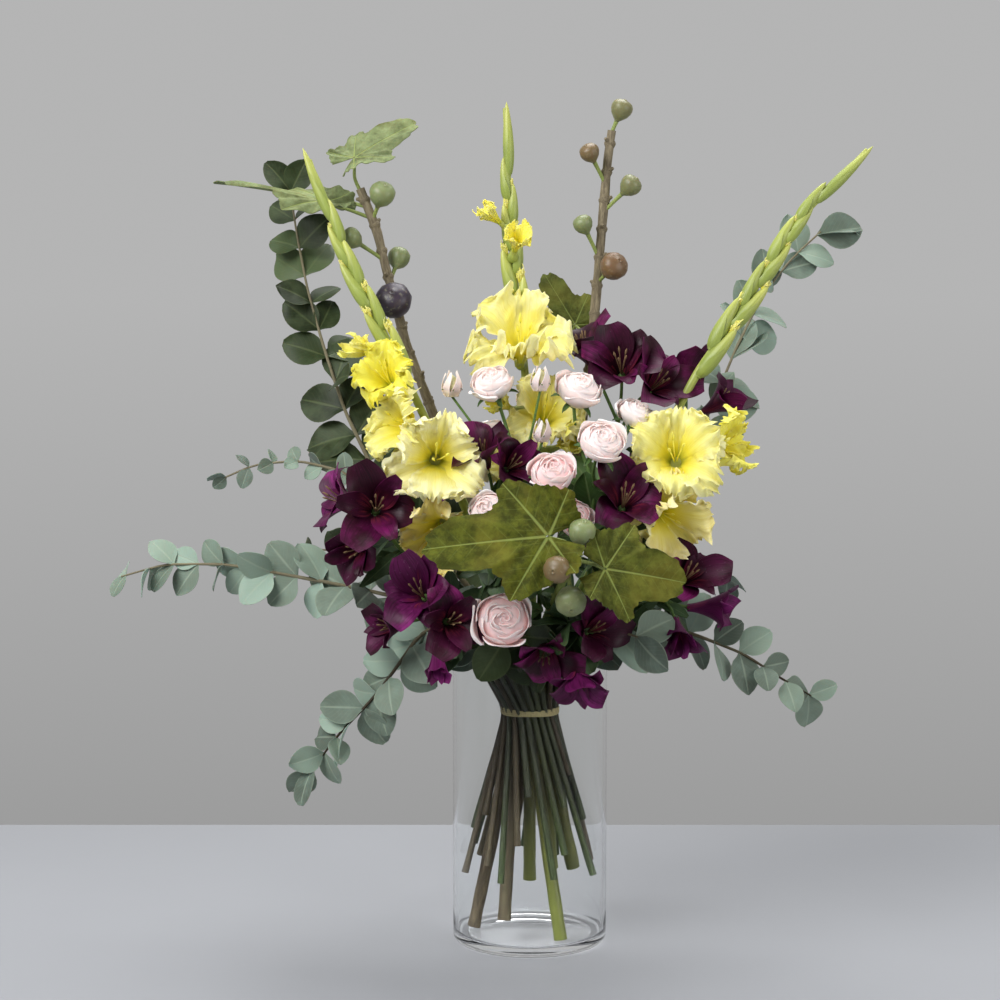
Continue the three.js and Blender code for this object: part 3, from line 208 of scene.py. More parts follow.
# name: stem as above; then length of the first and last leaves, pairs, share of the stem below them, the way
# that the leaves face, whether they are the dark kind
EUCALYPTUS = {
    "upper_left": ("outer", 0, -180, 128,
        [(-94, 4, 365), (-132, 8, 420), (-179, 10, 457), (-223, 14, 468), (-267, 18, 464), (-299, 20, 450)],
        (30, 18), 10, 0.56, (0.2, -0.75, 0.6), 0),
    "far_left": ("outer", 1, -168, 84, [(-92, -18, 330), (-140, -20, 342), (-182, -20, 351), (-240, -20, 362),
        (-292, -20, 371), (-350, -20, 371), (-392, -20, 359)], (48, 28), 13, 0.5, (0.1, -0.8, 0.5), 0),
    "low_left": ("outer", 3, -144, 105, [(-74, -50, 322), (-104, -66, 311), (-126, -76, 280), (-148, -84, 252),
        (-180, -88, 219), (-206, -88, 184)], (48, 34), 14, 0.45, (-0.2, -0.85, 0.5), 0),
    "collar": ("outer", 9, -72, 165, [(8, -76, 312), (-26, -98, 310)], (48, 42), 5, 0.56, (0, -0.95, 0.3), 1),
    "front_right": ("outer", 11, -49, 72, [(56, -62, 312), (76, -86, 318), (98, -108, 314)], (52, 48), 3, 0.78,
        (0.1, -0.95, 0.3), 0),
    "low_right": ("outer", 15, -8, 122, [(84, -10, 318), (122, -34, 316), (159, -48, 306), (202, -58, 290),
        (235, -60, 268), (266, -60, 250)], (44, 32), 9, 0.52, (0.2, -0.85, 0.5), 0),
    "tall_right": ("outer", 18, 31, 150, [(68, 42, 350), (116, 46, 410), (160, 48, 475), (184, 50, 530),
        (204, 54, 578), (228, 60, 625), (256, 62, 662), (286, 62, 690)], (48, 42), 12, 0.56,
        (0.1, -0.85, 0.5), 0),
    "back_right": ("outer", 19, 46, 72, [(78, 66, 335), (126, 92, 356), (168, 108, 356), (206, 120, 338)],
        (44, 32), 7, 0.52, (0.2, 0.75, 0.65), 0),
    "back_left": ("outer", 23, 156, 71, [(-84, 42, 335), (-130, 66, 360), (-176, 84, 372), (-222, 96, 372)],
        (42, 30), 7, 0.52, (-0.2, 0.7, 0.7), 1),
    "tall_left": ("inner", 0, 176, 30, [(-56, 8, 340), (-104, 28, 400), (-150, 40, 450), (-182, 50, 515),
        (-202, 60, 574), (-219, 68, 633), (-229, 70, 685), (-236, 70, 735)], (60, 36), 17, 0.42,
        (0, -0.95, 0.3), 1),
}

# ------------------------------------------------------------------ vectors


def unit(vectors):
    """Each vector divided by its length."""
    vectors = np.asarray(vectors, float)
    return vectors / np.maximum(np.linalg.norm(vectors, axis=-1, keepdims=True), 1e-12)


def axes(ahead, side):
    """For each direction, a frame of rows x, y, z: z runs ahead and x is as near to side as that allows."""
    z = unit(ahead)
    side = np.broadcast_to(np.asarray(side, float), z.shape)
    x = side - z * (side * z).sum(-1, keepdims=True)
    spare = np.array([0.3, 0.2, 1.0]) - z * (z @ np.array([0.3, 0.2, 1.0]))[..., None]
    x = unit(np.where(np.linalg.norm(x, axis=-1, keepdims=True) < 1e-3, spare, x))
    return np.stack([x, np.cross(z, x), z], -2)


def xyz(x, y, z):
    """Points from arrays of x, y and z, which may differ in shape."""
    return np.stack(np.broadcast_arrays(x, y, z), -1)


def grid(count, rows, columns):
    """The numbers of that many sheets, and the shares of the way along them from 0 to 1 and across from -1."""
    along = np.linspace(0, 1, rows)[None, :, None]
    return np.arange(count)[:, None, None], along, np.linspace(-1, 1, columns)[None, None, :]


def flower(local, at, faces):
    """Points given about a flower's own axis, set where it stands."""
    return local @ axes(faces, UPRIGHT) + np.array(at, float)


def rooted(local, frames, roots):
    """Sheets of points, each set at its root in its own frame."""
    return np.einsum("krcx,kxd->krcd", local, frames) + roots[:, None, None, :]


def spin(points, angle):
    """Points turned about z by angle, which may differ from point to point."""
    c, s = np.cos(angle), np.sin(angle)
    x, y, z = points[..., 0], points[..., 1], points[..., 2]
    return xyz(c * x - s * y, s * x + c * y, z)


def along_line(corners, shares, soften=0.0):
    """Points at shares of the length of the line through the corners, which soften rounds off: each point is
    the mean of its neighbours on the line within that many millimetres."""
    corners = np.asarray(corners, float)
    steps = np.r_[0, np.cumsum(np.linalg.norm(np.diff(corners, axis=0), axis=1))]
    at = np.asarray(shares, float) * steps[-1]
    around = np.linspace(-1, 1, 9)
    reach = np.minimum(soften, np.minimum(at, steps[-1] - at))
    where = at[:, None] + around[None] * reach[:, None]
    weight = (1.2 - np.abs(around))[None]
    columns = [(np.interp(where, steps, corners[:, c]) * weight).sum(1) / weight.sum() for c in range(3)]
    return np.stack(columns, -1)


def bundle_point(ring, place, z):
    """Where a place of the tied bundle lies at height z, at the tie or below it."""
    count, radius, _, _, turned, widen, turn = RINGS[ring]
    away = TIE_Z - z
    angle = TAU * place / count - np.pi + turned
    out, across = radius * (1 + widen * away), radius * turn * away
    return (out * np.cos(angle) - across * np.sin(angle), out * np.sin(angle) + across * np.cos(angle), z)


def stem_corners(stem):
    """A stem's corner points: its cut end, the tie, the rim of the vase, and its own path."""
    ring, place, bearing, foot, path = stem[:5]
    reach = RINGS[ring][3]
    over = (reach * np.cos(np.radians(bearing)), reach * np.sin(np.radians(bearing)), RIM_Z)
    return [bundle_point(ring, place, foot), bundle_point(ring, place, TIE_Z), over, *path]


# ------------------------------------------------------------------ surfaces


class Surface:
    """Closed surfaces as arrays: points, four-sided faces, end caps, and four values at each point."""

    def __init__(self, points, quads, caps, values, material):
        self.points, self.quads, self.caps, self.values, self.material = points, quads, caps, values, material


def spread(values, shape):
    return np.broadcast_to(values, shape).astype(float)


def blades(sheets, thickness, tone=0.5, material=0):
    """Petals or leaves, each a sheet of rows by columns of points given as (count, rows, columns, 3). Its two
    faces lie half a thickness to either side along the normal, and a wall closes the edge. below is 1 on the
    side that the normal points to, which is the back of every petal and leaf here."""
    count, rows, columns, _ = sheets.shape
    normal = unit(np.cross(np.gradient(sheets, axis=2), np.gradient(sheets, axis=1)))
    half = normal * np.asarray(thickness, float).reshape(-1, 1, 1, 1) / 2
    points = np.stack([sheets + half, sheets - half], 1).reshape(-1, 3)
    ids = np.arange(rows * columns).reshape(rows, columns)
    top = np.stack([ids[:-1, :-1], ids[:-1, 1:], ids[1:, 1:], ids[1:, :-1]], -1).reshape(-1, 4)
    rim = np.concatenate([ids[0, :-1], ids[:-1, -1], ids[-1, :0:-1], ids[:0:-1, 0]])
    after = np.roll(rim, -1)
    under = rows * columns
    wall = np.stack([after, rim, rim + under, after + under], -1)
    quads = np.concatenate([top, top[:, ::-1] + under, wall])
    quads = (quads[None] + (np.arange(count) * 2 * under)[:, None, None]).reshape(-1, 4)
    shape = (count, 2, rows, columns)
    along = spread(np.linspace(0, 1, rows)[None, None, :, None], shape)
    across = spread(np.linspace(-1, 1, columns)[None, None, None, :], shape)
    below = spread(np.array([1.0, 0.0])[None, :, None, None], shape)
    tones = spread(np.asarray(tone, float).reshape(-1, 1, 1, 1), shape)
    values = np.stack([along, across, below, tones], -1).reshape(-1, 4)
    return Surface(points, quads, [], values, material)


def rings_closed(rings, tone, material):
    """Rings of points (count, rings, sides, 3) joined in order, each end closed by a flat cap."""
    count, steps, sides, _ = rings.shape
    ids = np.arange(steps * sides).reshape(steps, sides)
    nxt = np.roll(ids, -1, axis=1)
    quads = np.stack([ids[:-1], nxt[:-1], nxt[1:], ids[1:]], -1).reshape(-1, 4)
    offset = np.arange(count) * steps * sides
    quads = (quads[None] + offset[:, None, None]).reshape(-1, 4)
    caps = np.concatenate([ids[0, ::-1][None] + offset[:, None], ids[-1][None] + offset[:, None]])
    shape = (count, steps, sides)
    along = spread(np.linspace(0, 1, steps)[None, :, None], shape)
    across = spread(np.linspace(-1, 1, sides)[None, None, :], shape)
    tones = spread(np.asarray(tone, float).reshape(-1, 1, 1), shape)
    values = np.stack([along, across, 0 * along, tones], -1).reshape(-1, 4)
    return Surface(rings.reshape(-1, 3), quads, [caps], values, material)


def tubes(paths, radii, sides=8, tone=0.5, material=0, bumps=0.0):
    """Round stems: a circle of the radius of each point stands square to the path there. bumps swells it by
    that share in low waves along and around."""
    paths = np.asarray(paths, float)
    if paths.ndim == 2:
        paths = paths[None]
    ahead = unit(np.gradient(paths, axis=1))
    side = np.eye(3)[np.abs(ahead).max(1).argmin(-1)][:, None, :]
    frames = axes(ahead, side)
    angle = TAU * np.arange(sides) / sides
    circle = xyz(np.cos(angle), np.sin(angle), 0.0)
    radii = np.broadcast_to(np.asarray(radii, float), paths.shape[:2])[..., None, None]
    step = np.arange(paths.shape[1])[None, :, None, None]
    swell = 1 + bumps * np.sin(0.9 * step + 2 * angle[None, None, :, None]) * np.sin(0.37 * step + 1.3)
    rings = circle @ frames * radii * swell + paths[:, :, None, :]
    return rings_closed(rings, tone, material)


def turned(profiles, frames, origins, sides=16, tone=0.5, material=0, ribs=0, depth=0.0, bend=None):
    """Profiles of (radius, height) turned about z, with ribs of that depth, and placed. bend moves the axis
    by that vector times the square of the share of the height."""
    profiles = np.asarray(profiles, float)
    profiles = profiles[None] if profiles.ndim == 2 else profiles
    frames, origins = np.asarray(frames, float), np.asarray(origins, float)
    frames = frames[None] if frames.ndim == 2 else frames
    origins = origins[None] if origins.ndim == 1 else origins
    angle = (TAU * np.arange(sides) / sides)[None, None, :]
    radius = profiles[..., 0][..., None] * (1 + depth * np.cos(ribs * angle))
    height = profiles[..., 1][..., None]
    local = xyz(radius * np.cos(angle), radius * np.sin(angle), height)
    local = np.broadcast_to(local, (len(origins),) + local.shape[1:]).copy()
    if bend is not None:
        share = height / np.abs(height).max()
        local = local + np.asarray(bend, float)[:, None, None, :] * share[..., None] ** 2
    rings = np.einsum("krsc,kcd->krsd", local, frames) + origins[:, None, None, :]
    return rings_closed(rings, tone, material)


def piece(name, parts, materials, node, crease=50):
    """One object from surfaces, standing for a solid's node. The four values become the attributes along, across,
    below and tone, and faces meeting at more than the crease angle, in degrees, stay sharp."""
    counts = np.r_[0, np.cumsum([len(part.points) for part in parts])]
    points = np.concatenate([part.points for part in parts]) / 1000
    groups = []
    for part, start in zip(parts, counts):
        groups.append((part.quads + start, part.material))
        groups.extend((cap + start, part.material) for cap in part.caps)
    corners = np.concatenate([faces.ravel() for faces, _ in groups]).astype(np.int32)
    sizes = np.concatenate([np.full(len(faces), faces.shape[1]) for faces, _ in groups])
    index = np.concatenate([np.full(len(faces), material) for faces, material in groups]).astype(np.int32)
    mesh = bpy.data.meshes.new(name)
    mesh.vertices.add(len(points))
    mesh.vertices.foreach_set("co", points.astype(np.float32).ravel())
    mesh.loops.add(len(corners))
    mesh.loops.foreach_set("vertex_index", corners)
    mesh.polygons.add(len(sizes))
    mesh.polygons.foreach_set("loop_start", np.r_[0, np.cumsum(sizes)[:-1]].astype(np.int32))
    mesh.polygons.foreach_set("material_index", index)
    mesh.polygons.foreach_set("use_smooth", np.ones(len(sizes), bool))
    values = np.concatenate([part.values for part in parts])
    for column, label in enumerate(("along", "across", "below", "tone")):
        attribute = mesh.attributes.new(label, "FLOAT", "POINT")
        attribute.data.foreach_set("value", values[:, column].astype(np.float32))
    mesh.update(calc_edges=True)
    mesh.validate()
    mesh.set_sharp_from_angle(angle=np.radians(crease))
    for material in materials:
        mesh.materials.append(material)
    made = bpy.data.objects.new(name, mesh)
    bpy.context.collection.objects.link(made)
    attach(made, "root")
    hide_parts(node)
    return made


# ------------------------------------------------------------------ materials


class Wire:
    """An output of a material's node. Arithmetic on it adds a node that does the same."""

    def __init__(self, finish, socket):
        self.finish, self.socket = finish, socket

    def __add__(self, other):
        return self.finish.math("ADD", self, other)

    def __sub__(self, other):
        return self.finish.math("SUBTRACT", self, other)

    def __mul__(self, other):
        return self.finish.math("MULTIPLY", self, other)

    def __truediv__(self, other):
        return self.finish.math("DIVIDE", self, other)

    def __abs__(self):
        return self.finish.math("ABSOLUTE", self)


class Finish:
    """A material of procedural nodes, built up by short calls that return wires."""

    def __init__(self, name, **settings):
        self.material = bpy.data.materials.new(name)
        self.material.use_nodes = True
        self.tree = self.material.node_tree
        self.shader = self.tree.nodes["Principled BSDF"]
        self.place = self.node("ShaderNodeTexCoord", output="Object")
        self.feed(self.shader, {label.replace("_", " "): value for label, value in settings.items()})

    def feed(self, node, inputs):
        """Joins each input to its wire, or sets it to its plain value."""
        for label, value in inputs.items():
            if isinstance(value, Wire):
                self.tree.links.new(value.socket, node.inputs[label])
            else:
                node.inputs[label].default_value = value

    def node(self, kind, inputs=None, output=0, **settings):
        made = self.tree.nodes.new(kind)
        for label, value in settings.items():
            setattr(made, label, value)
        self.feed(made, inputs or {})
        return Wire(self, made.outputs[output])

    def values(self, *names):
        """The named values of each point of the mesh."""
        return [self.node("ShaderNodeAttribute", output="Fac", attribute_name=name) for name in names]

    def noise(self, scale, detail=3.0, place=None, roughness=0.55):
        inputs = {"Vector": place or self.place, "Scale": scale, "Detail": detail, "Roughness": roughness}
        return self.node("ShaderNodeTexNoise", inputs, "Fac")

    def streaks(self, waves, ahead, detail=2, luck=None):
        """Noise of so many waves across a petal or stem and along it."""
        along, across, tone = self.values("along", "across", "tone")
        place = {"X": across * waves, "Y": along * ahead, "Z": luck or tone}
        return self.noise(1.0, detail, self.node("ShaderNodeCombineXYZ", place))

    def math(self, operation, a, b=0.0, clamp=False):
        return self.node("ShaderNodeMath", {0: a, 1: b}, operation=operation, use_clamp=clamp)

    def band(self, value, low, high, start=0.0, end=1.0):
        """value carried from low..high to start..end, held at both ends."""
        inputs = {"Value": value, "From Min": low, "From Max": high, "To Min": start, "To Max": end}
        return self.node("ShaderNodeMapRange", inputs)

    def mix(self, share, a, b, blend="MIX"):
        a, b = ((*c, 1) if isinstance(c, tuple) else c for c in (a, b))
        return self.node("ShaderNodeMix", {0: share, 6: a, 7: b}, 2, data_type="RGBA", blend_type=blend)

    def painted_vase_shade(self, base):
        """Painted shade: stems are darkened and browned inside the vase where the bundle crowds, from just above
        the table to the rim.
        """
        height = self.node("ShaderNodeSeparateXYZ", {0: self.place}, "Z")
        deep = self.band(height, 0.02, 0.16, 0.62, 1.0) * self.band(height, 0.27, 0.33, 1.0, 0.0)
        # Painted shade: the colour is multiplied by dark brown inside the vase.
        return self.mix(deep, base, (0.13, 0.095, 0.035), "MULTIPLY")

    def done(self, base, roughness, height, strength, distance):
        """The material, with its colour, its roughness and the height that its bump follows."""
        bump = {"Strength": strength, "Distance": distance, "Height": height}
        normal = self.node("ShaderNodeBump", bump, "Normal")
        self.feed(self.shader, {"Base Color": base, "Roughness": roughness, "Normal": normal})
        return self.material


def colour(values):
    """A colour setting as a plain tuple."""
    return tuple(float(v) for v in values)


def darker(values, share):
    """A colour at that share of its strength, lighter where the share is above 1."""
    return tuple(float(v) * share for v in values)


def gladiolus_finish(pale, golden):
    """Lemon petals, by tone from saturated through cream to golden. The throat is deeper yellow and green at
    its foot, the frilled edge paler, and fine veins fan out from the foot."""
    lemon, yolk, cream = (0.92, 0.84, 0.07), (0.92, 0.78, 0.03), (0.96, 0.92, 0.62)
    vein, foot = (0.8, 0.68, 0.12), (0.42, 0.52, 0.04)
    glow = {"Subsurface_Weight": 0.35, "Subsurface_Scale": 0.004, "Subsurface_Radius": (1.0, 0.8, 0.25)}
    f = Finish("gladiolus petal", Specular_IOR_Level=0.3, **glow)
    along, across, tone = f.values("along", "across", "tone")
    mottle = f.noise(60)
    throat = f.band(along + mottle * 0.25, 0.4, 0.78, 1.0, 0.0)
    midrib = f.band(abs(across), 0.0, 0.45, 1.0, 0.0)
    deep = f.math("MAXIMUM", throat, midrib * f.band(along, 0.3, 0.9, 0.8, 0.0))
    base = f.mix(f.band(tone, 0.0, 0.45), lemon, pale)
    base = f.mix(f.band(tone, 0.55, 1.0), base, golden)
    base = f.mix(deep * 0.85, base, yolk)
    edge = f.band(abs(across), 0.7, 1.0)
    base = f.mix(edge * f.band(tone, 0.0, 0.4, 0.1, 0.5), base, cream)
    veins = f.streaks(26.0, 2.0)
    base = f.mix(f.band(veins, 0.45, 0.7) * 0.3, base, vein, "MULTIPLY")
    base = f.mix(f.band(along, 0.0, 0.24, 1.0, 0.0) * 0.8, base, foot)
    return f.done(base, 0.5, veins + mottle * 0.3, 0.5, 0.001)


def spike_finish(green):
    """Young gladiolus stem and bracts: yellow-green, ribbed along, paler at a bud's tip and margins; painted
    shade darkens them inside the vase.
    """
    tip, patch = (0.6, 0.6, 0.14), (0.42, 0.5, 0.09)
    f = Finish("gladiolus green")
    along, tone = f.values("along", "tone")
    ribs = f.streaks(8.0, 1.6)
    base = f.mix(f.band(along, 0.35, 0.95) * tone, green, tip)
    base = f.mix(f.band(ribs, 0.4, 0.7) * 0.35, base, darker(green, 0.55))
    base = f.mix(f.band(f.noise(22), 0.5, 0.7, 0.0, 0.35), base, patch)
    # Painted shade darkens the spike inside the vase.
    return f.done(f.painted_vase_shade(base), 0.42, ribs, 0.3, 0.0008)


def rose_finish(blush, pink):
    """Blush petals: nearly white, pinker in the folds and on pink blooms, creamy at the foot, faintly veined."""
    cream = (0.92, 0.86, 0.62)
    glow = {"Subsurface_Weight": 0.4, "Subsurface_Scale": 0.004, "Subsurface_Radius": (1.0, 0.6, 0.5)}
    f = Finish("rose petal", Specular_IOR_Level=0.3, **glow)
    along, tone = f.values("along", "tone")
    deep = f.band(along, 0.2, 0.9, 1.0, 0.25) * f.band(tone, 0.0, 1.0, 0.15, 1.0)
    base = f.mix(deep * 0.9 + f.noise(90) * 0.1, blush, pink)
    base = f.mix(f.band(along, 0.0, 0.3, 0.5, 0.0), base, cream)
    veins = f.streaks(18.0, 2.0)
    base = f.mix(f.band(veins, 0.5, 0.75) * 0.1, base, pink)
    return f.done(base, 0.55, veins, 0.15, 0.0005)


def alstroemeria_finish(name, dark, bright):
    """Near-black purple petals with painted magenta sheen toward the tips, a little lighter on the backs, painted
    pale glints, and reddish streaks in the throat of the inner three."""
    glint, red = (0.6, 0.42, 0.55), (0.35, 0.04, 0.07)
    f = Finish(name, Sheen_Weight=0.03, Sheen_Tint=(0.8, 0.2, 0.6, 1), Specular_IOR_Level=0.2)
    along, below, tone = f.values("along", "below", "tone")
    mottle = f.noise(38)
    veins = f.streaks(15.0, 1.8, 3, tone * 9.0)
    # Painted sheen: magenta patches toward the tips; the back of every petal is also a little lighter.
    glow = f.band(mottle, 0.42, 0.62) * f.band(along, 0.2, 0.8)
    glow = glow * f.band(f.math("FRACT", tone * 7.3), 0.3, 1.0, 0.15, 1.0)
    base = f.mix(f.math("ADD", glow, below * 0.2, clamp=True), dark, bright)
    base = f.mix(f.band(veins, 0.48, 0.66) * 0.6, base, darker(dark, 0.3))
    # Painted glints: pale specks of highlight where the sheen is.
    glints = f.band(f.noise(420, 2), 0.66, 0.74) * f.band(mottle, 0.45, 0.6)
    base = f.mix(glints * 0.14, base, glint)
    inner = f.band(tone, 0.5, 0.52) * f.band(along, 0.3, 0.62, 1.0, 0.0)
    base = f.mix(f.band(veins, 0.5, 0.56) * inner * 0.5, base, red)
    return f.done(base, f.band(mottle, 0.3, 0.7, 0.36, 0.52), veins, 0.4, 0.0008)


def leaf_finish(name, face, back, rib, gloss, waxy):
    """A leathery leaf: one face and its paler back, a light midrib with faint side veins, blotches, and a
    waxy bloom where waxy is above 0."""
    soft = {"Subsurface_Weight": 0.08, "Subsurface_Scale": 0.001, "Sheen_Weight": 0.12 * waxy}
    f = Finish(name, Specular_IOR_Level=0.2, **soft)
    along, across, below, tone = f.values("along", "across", "below", "tone")
    blotch = f.noise(45, 4)
    base = f.mix(below, face, back)
    base = f.mix(f.band(tone, 0.3, 1.0, 0.0, 0.95), base, darker(face, 0.36))
    base = f.mix(f.band(tone, 0.0, 0.4, 0.6, 0.0), base, darker(back, 1.5))
    base = f.mix(f.band(blotch, 0.45, 0.75, 0.0, 0.45), base, back)
    slant = f.math("FRACT", along * 9.0 - abs(across) * 3.0)
    side = f.band(abs(slant - 0.5), 0.0, 0.1, 1.0, 0.0)
    veins = f.math("MAXIMUM", f.band(abs(across), 0.03, 0.1, 1.0, 0.0), side * 0.25)
    base = f.mix(veins * 0.4, base, rib)
    base = f.mix(f.band(abs(across), 0.9, 1.0) * 0.25, base, rib)
    return f.done(base, f.band(blotch, 0.3, 0.7, gloss, gloss + 0.15), veins * -0.6 + blotch * 0.5, 0.4, 0.0008)


def stem_finish(name, one, other, rough, scale=30.0):
    """A stem or bark: streaks along it, darker flecks and low bumps; painted shade makes it darker and browner
    inside the vase.
    """
    f = Finish(name, Specular_IOR_Level=0.35)
    streaks = f.streaks(5.0, scale, 3)
    flecks = f.noise(120, 4)
    base = f.mix(f.band(streaks, 0.35, 0.7), one, other)
    base = f.mix(f.band(flecks, 0.52, 0.7, 0.0, 0.5), base, darker(other, 0.5))
    # Painted shade darkens the stem inside the vase.
    return f.done(f.painted_vase_shade(base), rough, streaks + flecks * 0.4, 0.5, 0.001)


def fig_skin(green, purple):
    """Fig skin: green when young, brown, then purple, with pale flecks and faint ribs."""
    brown, fleck, dull = (0.16, 0.09, 0.04), (0.5, 0.5, 0.32), (0.12, 0.1, 0.05)
    f = Finish("fig skin", Subsurface_Weight=0.1, Subsurface_Scale=0.002)
    along, tone = f.values("along", "tone")
    flecks = f.noise(230, 2)
    base = f.mix(f.band(tone, 0.2, 0.55), green, brown)
    base = f.mix(f.band(tone, 0.65, 0.9), base, purple)
    base = f.mix(f.band(along, 0.0, 0.35, 0.6, 0.0), base, green)
    base = f.mix(f.band(flecks, 0.6, 0.68, 0.0, 0.16), base, fleck)
    base = f.mix(f.band(f.noise(70, 3), 0.5, 0.75, 0.0, 0.4), base, dull)
    return f.done(base, 0.42, flecks, 0.2, 0.0005)


def fig_leaf_finish(face, pale):
    """A fig leaf. along and across hold the place on the blade in leaf lengths, from the foot; a main vein
    runs out to every lobe and side veins branch from it, pale on a mottled olive face."""
    brown, vein = (0.2, 0.17, 0.02), (0.3, 0.36, 0.1)
    f = Finish("fig leaf", Subsurface_Weight=0.08, Subsurface_Scale=0.001, Specular_IOR_Level=0.06)
    x, y, below, tone = f.values("along", "across", "below", "tone")
    veins = 0.0
    for bearing, reach, _ in FIG_LOBES:
        c, s = float(np.cos(bearing)), float(np.sin(bearing))
        out = x * c + y * s
        off = abs(x * s - y * c)
        line = f.band(off / f.band(out, 0.0, reach, 0.014, 0.004), 0.6, 1.4, 1.0, 0.0)
        rungs = f.math("FRACT", (out - off * 0.8) * 8.0)
        rung = f.band(abs(rungs - 0.5), 0.0, 0.07, 1.0, 0.0) * f.band(off, 0.0, 0.22, 0.3, 0.0)
        veins = f.math("MAXIMUM", f.math("MAXIMUM", line, rung) * f.band(out, 0.0, 0.02), veins)
    mottle = f.noise(70, 5, roughness=0.7)
    base = f.mix(f.band(mottle, 0.42, 0.62), darker(face, 0.4), face)
    base = f.mix(f.band(f.noise(18, 3), 0.48, 0.7, 0.0, 0.5), base, brown)
    base = f.mix(tone * f.band(mottle, 0.3, 0.7, 0.2, 0.9), base, pale)
    base = f.mix(below * 0.3, base, pale)
    base = f.mix(veins * 0.5, base, vein)
    return f.done(base, 0.6, mottle * 0.5 - veins, 0.6, 0.0012)


def straw_finish(straw):
    """Dry twisted straw: fine fibres round the band."""
    f = Finish("straw tie")
    fibres = f.streaks(14.0, 60.0, 3)
    return f.done(f.mix(f.band(fibres, 0.35, 0.7), darker(straw, 0.5), straw), 0.8, fibres, 0.7, 0.001)


def glass_finish(clear):
    """Clear glass with the faint streaks and slight unevenness of a moulded cylinder."""
    f = Finish("clear glass", Transmission_Weight=1.0, IOR=1.46, Specular_Tint=(0.1, 0.105, 0.11, 1))
    streaks = f.noise(5, 2)
    base = f.mix(f.band(streaks, 0.3, 0.7), clear, tuple(min(1.0, v * 1.03) for v in clear))
    return f.done(base, 0.0, streaks, 0.03, 0.001)


# ------------------------------------------------------------------ flowers and leaves


def gladiolus_petals(at, faces, size, tone, spread_out, key, crumple, material=0):
    """Six broad petals from a narrow tube. Out from the axis a petal goes as the power 1.25 of the share s of
    its length and turns back at the lip; its width is a sine of a power of s, so it is widest past the middle.
    A keel runs up it, slow waves turn its lobes and quick ones frill and notch its edge; the inner three stand
    further forward than the outer three."""
    k, s, t = grid(6, 34, 23)
    luck = np.random.default_rng(key + 11)
    phase, other = luck.uniform(0, TAU, (2, 6, 1, 1))
    vary = luck.uniform(0.8, 1.16, (6, 1, 1))
    lift = luck.uniform(-0.35, 0.5, (6, 1, 1))
    inner = (k % 2).astype(float)
    edge = np.abs(t) ** 2
    out = size * (0.09 + spread_out * (0.97 - 0.16 * inner) * vary * s**1.25)
    rise = size * (-0.92 + 1.3 * s**0.7 + (0.22 * inner + lift) * s**1.5 - spread_out * 0.5 * s**3)
    rise = rise - size * 0.3 * spread_out * (lift + 0.16) * np.clip((s - 0.7) / 0.3, 0, 1) ** 2
    half = 0.06 + (0.42 + 0.03 * inner) * np.sin(np.pi * 0.84 * s**1.25) ** 0.85
    width = size * half * (0.45 + 0.55 * spread_out) * (1 + 0.05 * crumple * s * np.sin(41 * s + phase))
    slow = np.sin(2.4 * t + phase) * s * 0.08 + np.sin(8 * s + other + 1.5 * np.sign(t)) * s * edge * 0.15
    quick = np.sin(23 * s + phase + 2 * t) * edge * s * 0.075 + np.sin(13 * t + other) * s**4 * 0.07
    rise = rise + size * crumple * (slow + quick) + size * 0.16 * t**2 * (0.9 - 1.1 * s * spread_out)
    rise = rise - size * 0.07 * s * np.exp(-((t / 0.2) ** 2)) + size * 0.14 * s * t**2
    out = out - size * 0.17 * s**5 * t**2 - size * crumple * 0.4 * s * (slow + quick)
    out = out + size * crumple * 0.03 * s**8 * np.sin(19 * t + phase)
    local = spin(xyz(out, t * width, rise), k * TAU / 6 + 0.5 * (vary - 1))
    return blades(flower(local, at, faces), 0.5, tone, material)


def stamens(at, faces, size, count, reach, material, tone):
    """Thin filaments that arch out of a throat, each ending in a small anther."""
    k = np.arange(count)[:, None]
    s = np.linspace(0, 1, 7)[None]
    angle = TAU * k / count + 0.4
    out = size * (0.03 + 0.13 * s**1.5)
    rise = size * (-0.7 + (0.7 + reach) * s)
    paths = flower(xyz(out * np.cos(angle) + 0.1 * size * s**2, out * np.sin(angle), rise), at, faces)
    tips = paths[:, -1:, :] + (paths[:, -1:, :] - paths[:, -2:-1, :]) * np.linspace(-0.4, 1.2, 5)[None, :, None]
    return [
        tubes(paths, 0.012 * size + 0.15, 5, tone, material),
        tubes(tips, np.array([0.4, 1.0, 1.15, 1.0, 0.3]) * 0.028 * size, 6, tone, material),
    ]


